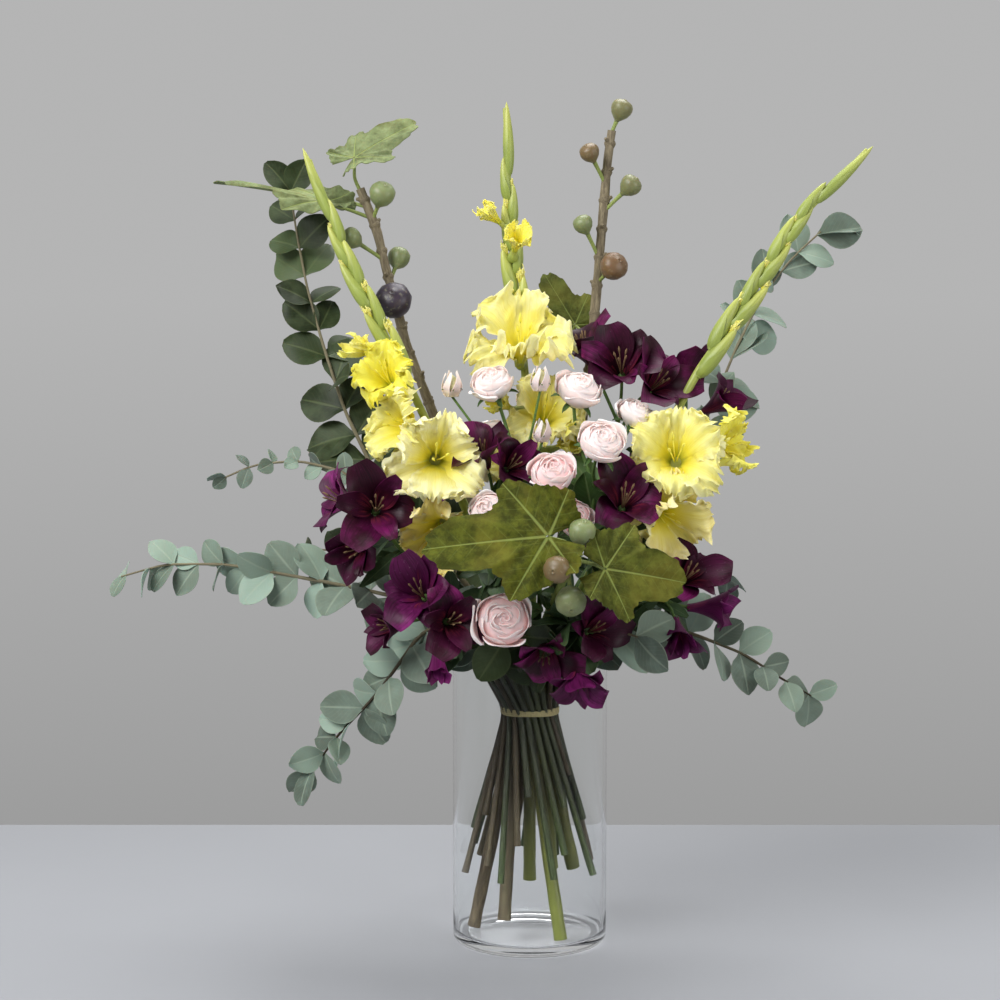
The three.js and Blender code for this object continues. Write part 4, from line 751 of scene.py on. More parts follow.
def alstroemeria_petals(at, faces, size, key, flare, material):
    """Six petals in a funnel, closed up where flare is low. The outer three are broad, narrow at the foot and
    widest at two thirds; the inner three are narrower and pointed. tone is below 0.5 for the outer ones and
    above it for the inner ones."""
    k, s, t = grid(6, 18, 11)
    luck = np.random.default_rng(key + 301)
    vary = luck.uniform(0.74, 1.16, (6, 1, 1))
    bow = luck.uniform(-0.4, 0.28, (6, 1, 1))
    twist = luck.uniform(-0.5, 0.5, (6, 1, 1))
    inner = (k % 2).astype(float)
    out = size * (0.1 + (0.98 - 0.12 * inner) * flare * vary * s**1.45)
    droop = 0.4 * flare * np.clip(s - 0.72, 0, 1) ** 1.3
    rise = size * (1.35 * s - 0.3 * s**2 - 0.84 + bow * flare * s**2 - droop)
    rise = rise + size * 0.35 * (1 - flare) * s
    broad = 0.45 * np.sin(np.pi * 0.88 * s**1.35) ** 0.75
    slim = 0.25 * np.sin(np.pi * 0.94 * s**1.15) ** 0.85
    width = size * (0.045 + np.where(inner > 0, slim, broad)) * (0.35 + 0.65 * flare)
    cup = size * (0.34 - 0.14 * inner) * t**2 * np.sin(np.pi * s)
    wave = size * 0.06 * np.abs(t) ** 2 * np.sin(9 * s + 15 * vary) * s + size * twist * t * s**2 * 0.45
    turn = (k + 0.5) * TAU / 6 + 0.3 * (vary - 1)
    local = spin(xyz(out - 0.35 * cup, t * width, rise + 0.6 * cup + wave), turn)
    tone = luck.uniform(0.02, 0.46, 6) + 0.5 * (np.arange(6) % 2)
    return blades(flower(local, at, faces), 0.45, tone, material)


def rose_petals(at, faces, size, pinkness, key):
    """Petals laid round the heart at the golden angle. Each is a cupped sheet in cylinder coordinates: its
    radius swells as a sine from the foot, closes again over the heart and, for the outermost, rolls outwards
    at the lip, whose middle stands higher than its corners."""
    count = int(11 + 0.34 * size)
    luck = np.random.default_rng(key + 77)
    f = np.linspace(0, 1, count)[:, None, None]
    k, s, t = grid(count, 15, 13)
    vary = luck.uniform(-1, 1, (count, 1, 1))
    middle = GOLDEN_ANGLE * k + 0.25 * vary
    swell = np.sin(np.pi * (0.1 + (0.68 - 0.1 * f) * s)) ** 0.7
    roll = 0.2 * f**3 * np.clip((s - 0.72) / 0.28, 0, 1) ** 2
    radius = size * (0.1 + 0.86 * f**0.95) * (swell + roll + 0.02 * vary)
    radius = radius + size * 0.05 * s**4 * np.sin(4 * t + 9 * vary) * (0.3 + f)
    top = 0.5 - 0.24 * f**3 + 0.05 * vary
    height = size * (-0.62 + (0.62 + top) * s**0.85 - 0.1 * f**2 * np.clip((s - 0.8) / 0.2, 0, 1) ** 2)
    height = height - size * (0.12 + 0.1 * f) * t**2 * s**2 + size * 0.03 * s**3 * np.sin(6 * t + 5 * vary)
    span = (1.25 - 0.42 * f) * (0.55 + 0.45 * np.sin(np.pi * np.clip(s * 0.72, 0, 1)))
    angle = middle + t * span
    radius = radius + size * 0.04 * t
    local = flower(xyz(radius * np.cos(angle), radius * np.sin(angle), height), at, faces)
    tone = np.clip(pinkness + 0.15 * vary.ravel() + 0.2 * (1 - f.ravel()), 0, 1)
    dome = [(0.12, -0.6), (0.5, -0.5), (0.78, -0.2), (0.8, 0.02), (0.64, 0.24), (0.36, 0.36), (0.03, 0.4)]
    heart = turned(np.array(dome) * size, axes(faces, UPRIGHT), at, 20, float(tone.mean()))
    heart.values[:, 0] = 0.45
    return [blades(local, 0.45, tone), heart]


def calyx(at, faces, size, material):
    """The green cup under a rose and its five narrow sepals, which curve out under the petals."""
    profile = [(0.1, -0.86), (0.16, -0.84), (0.26, -0.72), (0.3, -0.6), (0.24, -0.5), (0.02, -0.46)]
    cup = turned(np.array(profile) * size, axes(faces, UPRIGHT), at, 12, 0.3, material)
    k, s, t = grid(5, 9, 5)
    out = size * (0.2 + 0.72 * s**0.9)
    rise = size * (-0.58 + 0.18 * s - 0.3 * s**3 + 0.03 * np.cos(3 * k) * s)
    width = size * 0.15 * (1 - s) ** 0.6 * (0.5 + s) + 0.15
    local = spin(xyz(out, t * width, rise + size * 0.05 * t**2), k * TAU / 5)
    return [cup, blades(flower(local, at, faces), 0.5, 0.4, material)]


def round_leaves(roots, along, light, lengths, luck, material, long_kind=0.0):
    """Eucalyptus leaves: nearly round, on a short stalk, with a small point, folded a little at the midrib and
    arched along it. The half width is a sine of the share of the length to the power 0.8."""
    count = len(roots)
    _, s, t = grid(count, 11, 9)
    size = lengths[:, None, None]
    vary = luck.uniform(-1, 1, (count, 1, 1))
    blade = np.clip((s - 0.07) / 0.93, 0, 1)
    half = np.sin(np.pi * blade**0.85 * 0.985) ** 0.62 * (0.4 + 0.03 * vary - 0.16 * long_kind)
    half = np.maximum(half, 0.018)
    z = size * (0.2 * s * (1 - s) + 0.14 * np.abs(t) * half + 0.05 * vary * s**2 * t)
    z = z + size * 0.02 * np.sin(7 * s + 5 * vary + 2 * t) * np.abs(t)
    placed = rooted(xyz(size * s, size * half * t, z), axes(light, along), roots)
    return blades(placed, 0.45, luck.uniform(0, 1, count), material)


def strap_leaves(roots, along, light, lengths, luck, material):
    """Narrow pointed leaves, arched and twisted half over, as alstroemeria has."""
    count = len(roots)
    _, s, t = grid(count, 13, 5)
    size = lengths[:, None, None]
    vary = luck.uniform(-1, 1, (count, 1, 1))
    half = 0.022 + 0.11 * np.sin(np.pi * 0.97 * s) ** 0.9
    x = size * (s - 0.12 * s**3)
    z = size * (0.22 * s - (0.3 + 0.15 * vary) * s**2 + 0.1 * half * np.abs(t))
    turn = (0.5 + 0.7 * vary) * s
    local = xyz(x, size * half * t * np.cos(turn), z + size * half * t * np.sin(turn))
    placed = rooted(local, axes(light, along), roots)
    return blades(placed, 0.5, luck.uniform(0, 1, count), material)


def fig_leaf(base, along, up, length, wide, tone):
    """A fig blade on a polar grid about its foot. Its rim reaches furthest at the five lobes, toothed finely;
    the blade waves across, folds up from the midrib and sinks along the main veins."""
    angle = np.linspace(-2.75, 2.75, 181)[None, :]
    share = np.linspace(0.02, 1, 30)[:, None]
    reaches = [reach * np.exp(-(((angle - at) / width) ** 2) / 1.7) for at, reach, width in FIG_LOBES]
    rim = np.maximum(np.max(reaches, axis=0), 0.43 + 0.13 * np.cos(angle))
    rim = rim * (1 + 0.018 * np.sin(34 * angle) + 0.012 * np.sin(57 * angle + 1))
    radius = length * share * rim
    x, y = radius * np.cos(angle), radius * np.sin(angle) * wide
    bearings = np.array([lobe[0] for lobe in FIG_LOBES])[:, None, None]
    near = np.min(np.abs(angle[None] - bearings) * share[None], axis=0)
    groove = -0.016 * length * np.exp(-((near / 0.05) ** 2)) * share
    wave = 0.08 * length * share**2 * np.sin(3 * angle + 1) + 0.014 * length * share**2 * np.sin(17 * angle)
    z = wave + 0.12 * np.abs(y) - 0.14 * x**2 / length + groove
    up = unit(up)
    placed = xyz(x, y, z) @ axes(up, along) + np.array(base, float) + 2.2 * up
    made = blades(placed[None], 0.7, tone)
    made.values[:, 0] = np.tile((x / length).ravel(), 2)
    made.values[:, 1] = np.tile((y / length / wide).ravel(), 2)
    return made


def figs(fruit, skin, stalk):
    """Each fig's profile is turned about the line from its stalk: a neck, a round belly and a dimpled eye. The
    radius sets the belly, and low ribs run up it."""
    radii = [0.17, 0.24, 0.45, 0.76, 0.95, 1.0, 0.95, 0.76, 0.45, 0.2, 0.15, 0.08, 0.03]
    heights = [-1.3, -1.12, -0.92, -0.6, -0.2, 0.12, 0.42, 0.68, 0.83, 0.87, 0.93, 0.92, 0.85]
    shape = np.stack([radii, heights], -1)
    made = []
    for at, radius, start, ripe in fruit:
        at, start = np.array(at, float), np.array(start, float)
        frames = axes(at - start, (1, 0, 0.2))
        made.append(turned(shape * radius, frames, at, 24, ripe, skin, 9, 0.025))
        neck = at - unit(at - start) * 1.2 * radius
        path = along_line([start, neck], np.linspace(0, 1, 5))
        made.append(tubes(path, [2.4, 1.9, 1.8, 1.9, 2.2], 8, 0.4, stalk))
    return made


def neck_leaves(stem, count, luck, material):
    """Broad leaves where a stem leaves the vase. They lean outwards, and hang down once they are clear of the
    rim."""
    roots = along_line(stem_corners(stem)[2:5], luck.uniform(0.3, 1, count))
    clear = np.clip((np.linalg.norm(roots[:, :2], axis=1) - 70) / 16, 0, 1)
    out = unit(roots * (1, 1, 0))
    drop = xyz(0.0, 0.0, 0.25 + 0.95 * clear)
    reach = unit(out + luck.normal(size=(count, 3)) * (0.8, 0.3, 0.3) - drop)
    light = unit(out + (0, 0, 0.7) + 0.35 * luck.normal(size=(count, 3)))
    return round_leaves(roots, reach, light, luck.uniform(36, 54, count), luck, material, 0.5)


def stem_tube(stem, tip, material=0, soften=16.0, bumps=0.06, taper=1.0):
    """A stem from its cut end to its tip, its corners rounded off. It tapers above the vase's rim, at once where
    taper is small, and swells a little towards its cut end."""
    start = RINGS[stem[0]][2]
    corners = np.array(stem_corners(stem), float)
    length = np.linalg.norm(np.diff(corners, axis=0), axis=1)
    shares = np.linspace(0, 1, max(24, int(length.sum() / 9)))
    rim = length[:2].sum() / length.sum()
    radii = start + (tip - start) * np.clip((shares - rim) / (1 - rim), 0, 1) ** taper
    radii = radii * (1 + 0.22 * np.clip(1 - shares / (0.7 * rim), 0, 1))
    return tubes(along_line(corners, shares, soften), radii, 10, 0.5, material, bumps)


def cut_end(stem, material):
    """The pale face where a stem is cut, a thin disc just under its end."""
    corners = np.array(stem_corners(stem), float)
    ahead = unit(corners[0] - corners[1])
    radii = RINGS[stem[0]][2] * np.array([1.1, 1.08, 0.9])
    return tubes(corners[0] + ahead * np.array([[-0.2], [0.15], [0.3]]), radii, 10, 0.5, material)


def spike_buds(name, stem, number):
    """The closed buds of a gladiolus, in two rows up the stem. Each is a spindle that bends back towards the
    stem, its half width a sine of a power of the height, and a bract is wrapped round its lower part. Most show
    a tuft of petals at the tip, and the last one runs out into a long point."""
    start, count, length, radius = GLADIOLUS_BUDS[name]
    above = np.array(stem[4], float)
    share = np.linspace(0, 1, count) ** 0.95
    where = start + (0.86 - start) * share
    ahead = unit(along_line(above, np.minimum(where + 0.03, 1), 20) - along_line(above, where - 0.03, 20))
    side = xyz(np.where(np.arange(count) % 2, -1.0, 1.0), -0.45, 0.0)
    side = unit(side - ahead * (side * ahead).sum(-1, keepdims=True))
    shrink = (1 - 0.3 * share) * np.random.default_rng(60 + number).uniform(0.9, 1.1, count)
    lengths = length * shrink * np.where(np.arange(count) == count - 1, 1.8, 1.0)
    lean = unit(ahead + (0.2 - 0.14 * share)[:, None] * side)
    frames = axes(lean, side)
    bend = xyz(-3.5 * shrink, 0.0, 0.0)
    tones = 0.45 + 0.5 * np.random.default_rng(number).uniform(0, 1, count)
    tops = along_line(above, where, 20) + side * 1.8 * (shrink * (share < 0.99))[:, None]
    roots = tops - ahead * 6
    u = np.linspace(0, 1, 13)
    belly = np.maximum(np.sin(np.pi * u**0.8) ** 0.6 * (1 - 0.15 * u) + 0.03, 0.5 * (u < 0.3))
    profiles = np.stack([belly, u], -1)[None] * np.stack([radius * shrink, lengths], -1)[:, None, :]
    parts = [turned(profiles, frames, roots, 14, tones, 0, 2, 0.1, bend)]
    _, s, t = grid(count, 11, 9)
    wrap = t * 1.9 * (1 - 0.75 * s**1.5)
    reach = np.sin(np.pi * (0.7 * s) ** 0.72) ** 0.75 * (1 - 0.2 * s) + 0.22
    reach = (radius * shrink)[:, None, None] * reach
    bent = reach * np.cos(wrap) + bend[:, :1, None] * (0.7 * s) ** 2
    bract = xyz(bent, reach * np.sin(wrap), 0.7 * lengths[:, None, None] * s - 1.0)
    parts.append(blades(rooted(bract, frames, roots), 0.5, tones * 0.4))
    for index in range(int(0.8 * count)):
        top = tops[index] + lean[index] * (lengths[index] - 9) - frames[index, 0] * 3.4 * shrink[index]
        key = 90 + number * 9 + index
        parts.append(gladiolus_petals(top, lean[index], 10 - 0.8 * index, 0.15, 0.3, key, 1.5, 1))
    return parts


def pedicel(start, fork, at, faces, size, bow, pull, radii, material):
    """The thin stalk of one flower. It leaves start, passes a point between the fork and the flower's back, and
    ends at the flower's foot."""
    behind = at - unit(faces) * 0.8 * size
    bend = behind - unit(faces) * bow * size
    path = along_line([start, pull * bend + (1 - pull) * fork, behind], np.linspace(0, 1, len(radii)), 10)
    return tubes(path, radii, 8, 0.5, material)


def rose_bud(at, radius, start):
    """A bud on its stalk: a ribbed spindle in a calyx, with five petals wound round it that open at the tip."""
    at, start = np.array(at, float), np.array(start, float)
    foot = at - (0, 0, radius)
    path = along_line([start, 0.4 * start + 0.6 * foot - (0, 0, 8), foot], np.linspace(0, 1, 12), 10)
    u = np.linspace(0, 1, 11)
    outline = np.stack([np.sin(np.pi * u**0.85) ** 0.8 * radius * 0.92 + 0.15, radius * (2.5 * u - 1.1)], -1)
    heart = turned(outline, np.eye(3), at, 15, 0.35, 3, 5, 0.05)
    k, s, t = grid(5, 9, 5)
    out = radius * (np.sin(np.pi * (0.06 + 0.8 * s) ** 0.85) ** 0.8 + 0.06 + 0.5 * np.clip(s - 0.7, 0, 1))
    width = radius * (0.62 * (1.04 - s) ** 0.6 * t + 0.1 * s * np.sin(3 * k))
    rise = radius * (2.75 * s - 1.05 + 0.16 * np.sin(2 * k) * s - 0.2 * s * t**2)
    petals = blades(spin(xyz(out, width, rise), k * TAU / 5 + 0.8 * s) + at, 0.5, 0.5, 2)
    cup = calyx(at + (0, 0, 0.55 * radius), (0, 0, 1), 1.3 * radius, 1)
    return [tubes(path, 1.2, 8, 0.5, 0), heart, *cup, petals]


# ------------------------------------------------------------------ settings


def tint(name, description, default):
    """A colour setting."""
    return FloatVectorProperty(
        name=name, description=description, default=default, subtype="COLOR", size=3, min=0, max=1
    )


class VaseSettings(bpy.types.PropertyGroup):
    radius: FloatProperty(name="Radius", description="Outside radius of the glass", default=0.075, unit="LENGTH")
    height: FloatProperty(name="Height", description="Height of the glass", default=0.3, unit="LENGTH")
    wall: FloatProperty(name="Wall", description="Thickness of the glass wall", default=0.0035, unit="LENGTH")
    floor: FloatProperty(
        name="Floor", description="Thickness of the glass at the bottom", default=0.009, unit="LENGTH"
    )
    glass: tint("Glass", "Tint of the glass", (0.97, 0.985, 0.985))
    straw: tint("Straw", "Colour of the tie", (0.5, 0.42, 0.2))


class FlowerSettings(bpy.types.PropertyGroup):
    gladiolus: tint("Gladiolus", "Petal colour of a fresh gladiolus", (0.95, 0.89, 0.46))
    golden: tint("Old gladiolus", "Petal colour of the lowest gladiolus blooms", (0.86, 0.66, 0.2))
    spike: tint("Spike", "Gladiolus stem and bracts", (0.28, 0.35, 0.07))
    blush: tint("Rose", "Petal colour of the spray roses", (0.95, 0.87, 0.83))
    pink: tint("Rose pink", "Colour in the folds and on pink roses", (0.86, 0.47, 0.48))
    purple: tint("Alstroemeria", "Petal colour in shade", (0.026, 0.0012, 0.009))
    # Painted highlight: petal colour of the lit copy of the alstroemeria material.
    fresh_and_highlit: tint("Highlit alstroemeria", "Petal colour of florets just open", (0.29, 0.026, 0.2))
    magenta: tint("Alstroemeria sheen", "Petal colour where it is lit", (0.2, 0.009, 0.115))
    green: tint("Stem", "Rose and alstroemeria stems", (0.09, 0.16, 0.04))


class FoliageSettings(bpy.types.PropertyGroup):
    pale: tint("Pale eucalyptus", "Upper face of the pale leaves", (0.2, 0.26, 0.2))
    dark: tint("Dark eucalyptus", "Upper face of the dark leaves", (0.034, 0.054, 0.016))
    fig_leaf: tint("Fig leaf", "Upper face of the fig leaves", (0.09, 0.1, 0.006))
    fig: tint("Fig", "Skin of a young fig", (0.2, 0.24, 0.1))
    ripe: tint("Ripe fig", "Skin of a ripe fig", (0.03, 0.02, 0.035))
    bark: tint("Bark", "Bark of the fig branches", (0.115, 0.09, 0.055))


class StageSettings(bpy.types.PropertyGroup):
    floor: tint("Table", "Colour of the table", (0.322, 0.331, 0.353))
    key: FloatProperty(name="Key light", description="Power of the large soft light, in watts", default=76, min=0)


# ------------------------------------------------------------------ operators


class BOUQUET_OT_vase(bpy.types.Operator):
    """Build the clear glass cylinder vase"""

    bl_idname = "bouquet.vase"
    bl_label = "Glass vase"

    def execute(self, context):
        v = context.scene.bouquet_vase
        radius, height, wall, floor = (1000 * value for value in (v.radius, v.height, v.wall, v.floor))
        inside = radius - wall
        bend = np.linspace(0, np.pi / 2, 7)
        heel, lip, well = 6.0, wall / 2, 5.0
        turn = np.linspace(0, np.pi, 9)
        profile = np.concatenate(
            [
                [(0.3, 0.9), (radius - 22, 0.9), (radius - 14, 0.0)],
                np.stack([radius - heel + heel * np.sin(bend), heel - heel * np.cos(bend)], -1),
                np.stack([np.full(9, radius), np.linspace(20, height - 12, 9)], -1),
                np.stack([radius - lip + lip * np.cos(turn), height - lip + lip * np.sin(turn)], -1),
                np.stack([np.full(9, inside), np.linspace(height - 12, 30, 9)], -1),
                np.stack([inside - well + well * np.cos(bend), floor + well - well * np.sin(bend)], -1),
                [(inside - 22, floor - 0.4), (0.3, floor - 0.8)],
            ]
        )
        body = turned(profile, np.eye(3), np.zeros(3), 160)
        glass = piece("vase_glass", [body], [glass_finish(colour(v.glass))], "vase", 60)
        glass.visible_shadow = False
        return {"FINISHED"}


class BOUQUET_OT_tie(bpy.types.Operator):
    """Wind the straw tie round the stems"""

    bl_idname = "bouquet.tie"
    bl_label = "Straw tie"

    def execute(self, context):
        sides = 8
        turn = np.linspace(0, TAU, 97)[:-1]
        around = TAU * np.arange(sides) / sides
        circle = 0.95 * xyz(np.cos(around), np.sin(around), 0.0)
        ids = np.arange(len(turn) * sides).reshape(-1, sides)
        up, over = np.roll(ids, -1, 0), np.roll(ids, -1, 1)
        quads = np.stack([ids, over, np.roll(up, -1, 1), up], -1).reshape(-1, 4)
        shares = [np.abs(turn[:, None] / np.pi - 1), np.abs(around[None] / np.pi - 1), 0.0]
        parts = []
        for strand in range(4):
            lift = -2.3 + 1.5 * strand
            out = 27.6 + 0.35 * (lift / 3) ** 2 + 0.25 * np.sin(5 * turn + strand)
            path = xyz(out * np.cos(turn), out * np.sin(turn), TIE_Z + lift + 0.4 * np.sin(3 * turn + strand))
            ahead = unit(np.roll(path, -1, 0) - np.roll(path, 1, 0))
            rings = circle @ axes(ahead, (0, 0, 1)) + path[:, None, :]
            values = np.stack(np.broadcast_arrays(*shares, 0.2 * strand), -1).reshape(-1, 4)
            parts.append(Surface(rings.reshape(-1, 3), quads, [], values, 0))
        piece("tie_straw", parts, [straw_finish(colour(context.scene.bouquet_vase.straw))], "tie")
        return {"FINISHED"}


class BOUQUET_OT_gladioli(bpy.types.Operator):
    """Grow the three gladiolus spikes with their buds and blooms"""

    bl_idname = "bouquet.gladioli"
    bl_label = "Gladioli"

    def execute(self, context):
        c = context.scene.bouquet_flowers
        petal = gladiolus_finish(colour(c.gladiolus), colour(c.golden))
        green = spike_finish(colour(c.spike))
        cut = stem_finish("gladiolus cut end", (0.55, 0.6, 0.3), (0.4, 0.45, 0.2), 0.6)
        for number, (name, stem) in enumerate(GLADIOLUS_STEMS.items()):
            parts = [stem_tube(stem, 2.4, soften=26), cut_end(stem, 2), *spike_buds(name, stem, number)]
            for index, (at, faces, size) in enumerate(HALF_OPEN[name]):
                key = 50 + number * 5 + index
                parts.append(gladiolus_petals(at, faces, 1.15 * size, 0.12, 0.52, key, 0.6, 1))
            stations = along_line(stem_corners(stem), np.linspace(0, 1, 120), 20)
            for at, faces, size in [bloom[:3] for bloom in GLADIOLUS_BLOOMS[name]] + HALF_OPEN[name]:
                out = unit(faces)
                end = at - out * 0.78 * size
                near = stations[np.linalg.norm(stations - end, axis=1).argmin()]
                path = along_line([near - (0, 0, 10), end - out * 6, end], np.linspace(0, 1, 9), 8)
                parts.append(tubes(path, np.linspace(3.4, 0.13 * size, 9), 10, 0.6, 0))
                sheath = along_line([near - (0, 0, 8), end - out * 8, end], np.linspace(0, 0.8, 8), 8)
                parts.append(tubes(sheath, [3.8, 4.8, 5.6, 5.8, 5.4, 4.4, 3.2, 1.4], 10, 0.2, 0))
            node = f"gladiolus_{name}_spike"
            piece(f"gladiolus_{name}_stem", parts, [green, petal, cut], node)
            for index, (at, faces, size, age, crumple) in enumerate(GLADIOLUS_BLOOMS[name]):
                parts = [gladiolus_petals(at, faces, 1.06 * size, age, 1.0, number * 7 + index, crumple)]
                parts += stamens(at, faces, size, 3, 0.1, 0, 0.1)
                node = f"gladiolus_{name}_floret_{index + 1}"
                piece(f"{node}_petals", parts, [petal], node, 70)
        return {"FINISHED"}


class BOUQUET_OT_figs(bpy.types.Operator):
    """Grow the fig branches with their fruit and leaves"""

    bl_idname = "bouquet.figs"
    bl_label = "Fig branches"

    def execute(self, context):
        c = context.scene.bouquet_foliage
        bark = stem_finish("fig bark", colour(c.bark), (0.3, 0.25, 0.16), 0.75, 60)
        twig = stem_finish("fig shoot", (0.3, 0.36, 0.1), (0.2, 0.26, 0.07), 0.55)
        skin = fig_skin(colour(c.fig), colour(c.ripe))
        leaf = fig_leaf_finish(colour(c.fig_leaf), (0.3, 0.37, 0.2))
        for name, stem in FIG_STEMS.items():
            wood = twig if name == "front" else bark
            tip = 3.0 if name == "front" else 4.4
            parts = [stem_tube(stem, tip, bumps=0.1, soften=12), cut_end(stem, 1)]
            scars = along_line(stem[4], np.linspace(0.1, 0.97, 14 if name != "front" else 4), 8)
            ahead = np.gradient(scars, axis=0)
            small = 0.72 if name == "front" else 1
            ring = np.array([(4.0, -4.2), (4.9, -1.8), (5.3, 0), (4.8, 1.2), (4.0, 2.8)]) * small
            parts.append(turned(ring, axes(ahead, (1, 0, 0)), scars, 12, 0.7, 0, 2, 0.09))
            luck = np.random.default_rng(len(name))
            out = unit(np.cross(unit(ahead), unit(luck.normal(size=scars.shape)))) + 0.5 * unit(ahead)
            spurs = scars[:, None, :] + out[:, None, :] * np.array([3.0, 5.6, 7.6])[None, :, None] * small
            parts.append(tubes(spurs, np.array([2.6, 2.1, 1.3]) * small, 8, 0.9, 0))
            parts += figs(FIGS[name], 2, 1)
            for petiole in FIG_PETIOLES[name]:
                path = along_line(petiole, np.linspace(0, 1, 12), 8)
                parts.append(tubes(path, np.linspace(1.9, 1.4, 12), 8, 0.5, 1))
            node = f"fig_{name}_branch"
            piece(f"{node}_wood", parts, [wood, twig, skin], node)
        for node, (base, along, up, length, wide, tone) in FIG_LEAVES.items():
            piece(f"{node}_blade", [fig_leaf(base, along, up, length, wide, tone)], [leaf], node)
        return {"FINISHED"}


class BOUQUET_OT_roses(bpy.types.Operator):
    """Grow the spray roses, their buds, stalks and leaves"""

    bl_idname = "bouquet.roses"
    bl_label = "Spray roses"

    def execute(self, context):
        c = context.scene.bouquet_flowers
        petal = rose_finish(colour(c.blush), colour(c.pink))
        green = stem_finish("rose stem", colour(c.green), darker(colour(c.green), 1.6), 0.5)
        bud = stem_finish("rose bud", (0.68, 0.62, 0.36), (0.5, 0.52, 0.22), 0.6)
        leaf = leaf_finish("rose leaf", (0.06, 0.13, 0.03), (0.13, 0.2, 0.08), (0.22, 0.3, 0.12), 0.4, 0)
        for number, (name, stem) in enumerate(ROSE_STEMS.items()):
            fork = np.array(stem[4][-1], float)
            parts = [stem_tube(stem, 1.9), cut_end(stem, 0)]
            for at, faces, size in [rose[1:4] for rose in ROSES.values() if rose[0] == name]:
                radii = np.linspace(1.8, 1.6, 14)
                parts.append(pedicel(fork - (0, 0, 4), fork, at, faces, size, 0.7, 0.75, radii, 0))
                parts += calyx(at, faces, size, 1)
            for bud_at, radius, start in ROSE_BUDS.get(name, []):
                parts += rose_bud(bud_at, radius, start)
            luck = np.random.default_rng(900 + number)
            count = 16 if name == "top_right" else 9
            roots = along_line([stem[4][0], fork], luck.uniform(0.1, 1, count))
            reach = unit(luck.normal(size=(count, 3)) * (1, 0.5, 0.6) + unit(fork * (1, 1, 0)) * 0.8)
            facing = unit((0.1, -0.8, 0.6) + 0.4 * luck.normal(size=(count, 3)))
            parts.append(round_leaves(roots, reach, facing, luck.uniform(22, 34, count), luck, 1, 0.6))
            if name == "top_right":
                luck = np.random.default_rng(77)
                roots = along_line([(57, -43, 395), fork], luck.uniform(0.2, 1, 8))
                reach = unit((0.05, -0.5, 0.7) + luck.normal(size=(8, 3)) * (0.4, 0.15, 0.25))
                facing = unit((0, -0.9, 0.25) + 0.3 * luck.normal(size=(8, 3)))
                parts.append(round_leaves(roots, reach, facing, luck.uniform(34, 46, 8), luck, 1, 0.4))
            node = f"rose_spray_{name}"
            piece(f"{node}_stalks", parts, [green, leaf, petal, bud], node)
        for number, (_, at, faces, size, pinkness) in ROSES.items():
            parts = rose_petals(at, faces, size, pinkness, number)
            piece(f"rose_{number}_petals", parts, [petal], f"rose_{number}", 80)
        return {"FINISHED"}


class BOUQUET_OT_alstroemeria(bpy.types.Operator):
    """Grow the dark alstroemeria stems and their florets"""

    bl_idname = "bouquet.alstroemeria"
    bl_label = "Alstroemeria"

    def execute(self, context):
        c = context.scene.bouquet_flowers
        petal = alstroemeria_finish("alstroemeria petal", colour(c.purple), colour(c.magenta))
        # A lit copy of the petal material, painted highlight for some florets.
        fresh_and_highlit = alstroemeria_finish("fresh alstroemeria petal", darker(colour(c.magenta), 0.3), colour(c.fresh_and_highlit))
        green = stem_finish("alstroemeria stem", darker(colour(c.green), 1.2), darker(colour(c.green), 0.7), 0.5)
        leaf = leaf_finish(
            "alstroemeria leaf", (0.045, 0.09, 0.03), (0.08, 0.13, 0.06), (0.12, 0.18, 0.07), 0.4, 0
        )
        anther = stem_finish("anther", (0.2, 0.12, 0.06), (0.3, 0.2, 0.1), 0.7)
        for number, (name, stem) in enumerate(ALSTROEMERIA.items()):
            below, fork = np.array(stem[4][-2:], float)
            parts = [stem_tube(stem, 2.0, 1), cut_end(stem, 1)]
            for index, (at, faces, size) in enumerate(stem[5]):
                start = fork + (below - fork) * 0.12 * index
                parts.append(pedicel(start, fork, at, faces, size, 0.45, 0.7, np.linspace(1.7, 1.5, 12), 1))
                ovary = np.array([(0.03, -1.0), (0.09, -0.95), (0.12, -0.86), (0.1, -0.78), (0.03, -0.74)]) * size
                parts.append(turned(ovary, axes(faces, UPRIGHT), at, 10, 0.3, 1, 3, 0.12))
                flare = TRUMPETS.get((name, index), 1.0)
                # Painted highlight: the listed florets take the lit copy of the petal material.
                material = 4 if (name, index) in HIGHLIT_FLORETS else 0
                parts.append(alstroemeria_petals(at, faces, 1.12 * size, number * 10 + index, flare, material))
                if flare > 0.5:
                    parts += stamens(at, faces, size, 5, 0.0, 3, 0.4)
            luck = np.random.default_rng(500 + number)
            count = 11
            roots = along_line([stem[4][0], below, fork], luck.uniform(0.1, 1, count))
            out = unit(fork * (1, 1, 0))
            reach = unit(luck.normal(size=(count, 3)) * (1, 0.8, 0.6) + out)
            light = unit((0, 0, 1) + 0.7 * luck.normal(size=(count, 3)))
            parts.append(strap_leaves(roots, reach, light, luck.uniform(38, 66, count), luck, 2))
            if name in NECK_LEAVES:
                parts.append(neck_leaves(stem, NECK_LEAVES[name], luck, 2))
            node = f"alstroemeria_{name}"
            piece(f"{node}_flowers", parts, [petal, green, leaf, anther, fresh_and_highlit], node, 70)
        return {"FINISHED"}


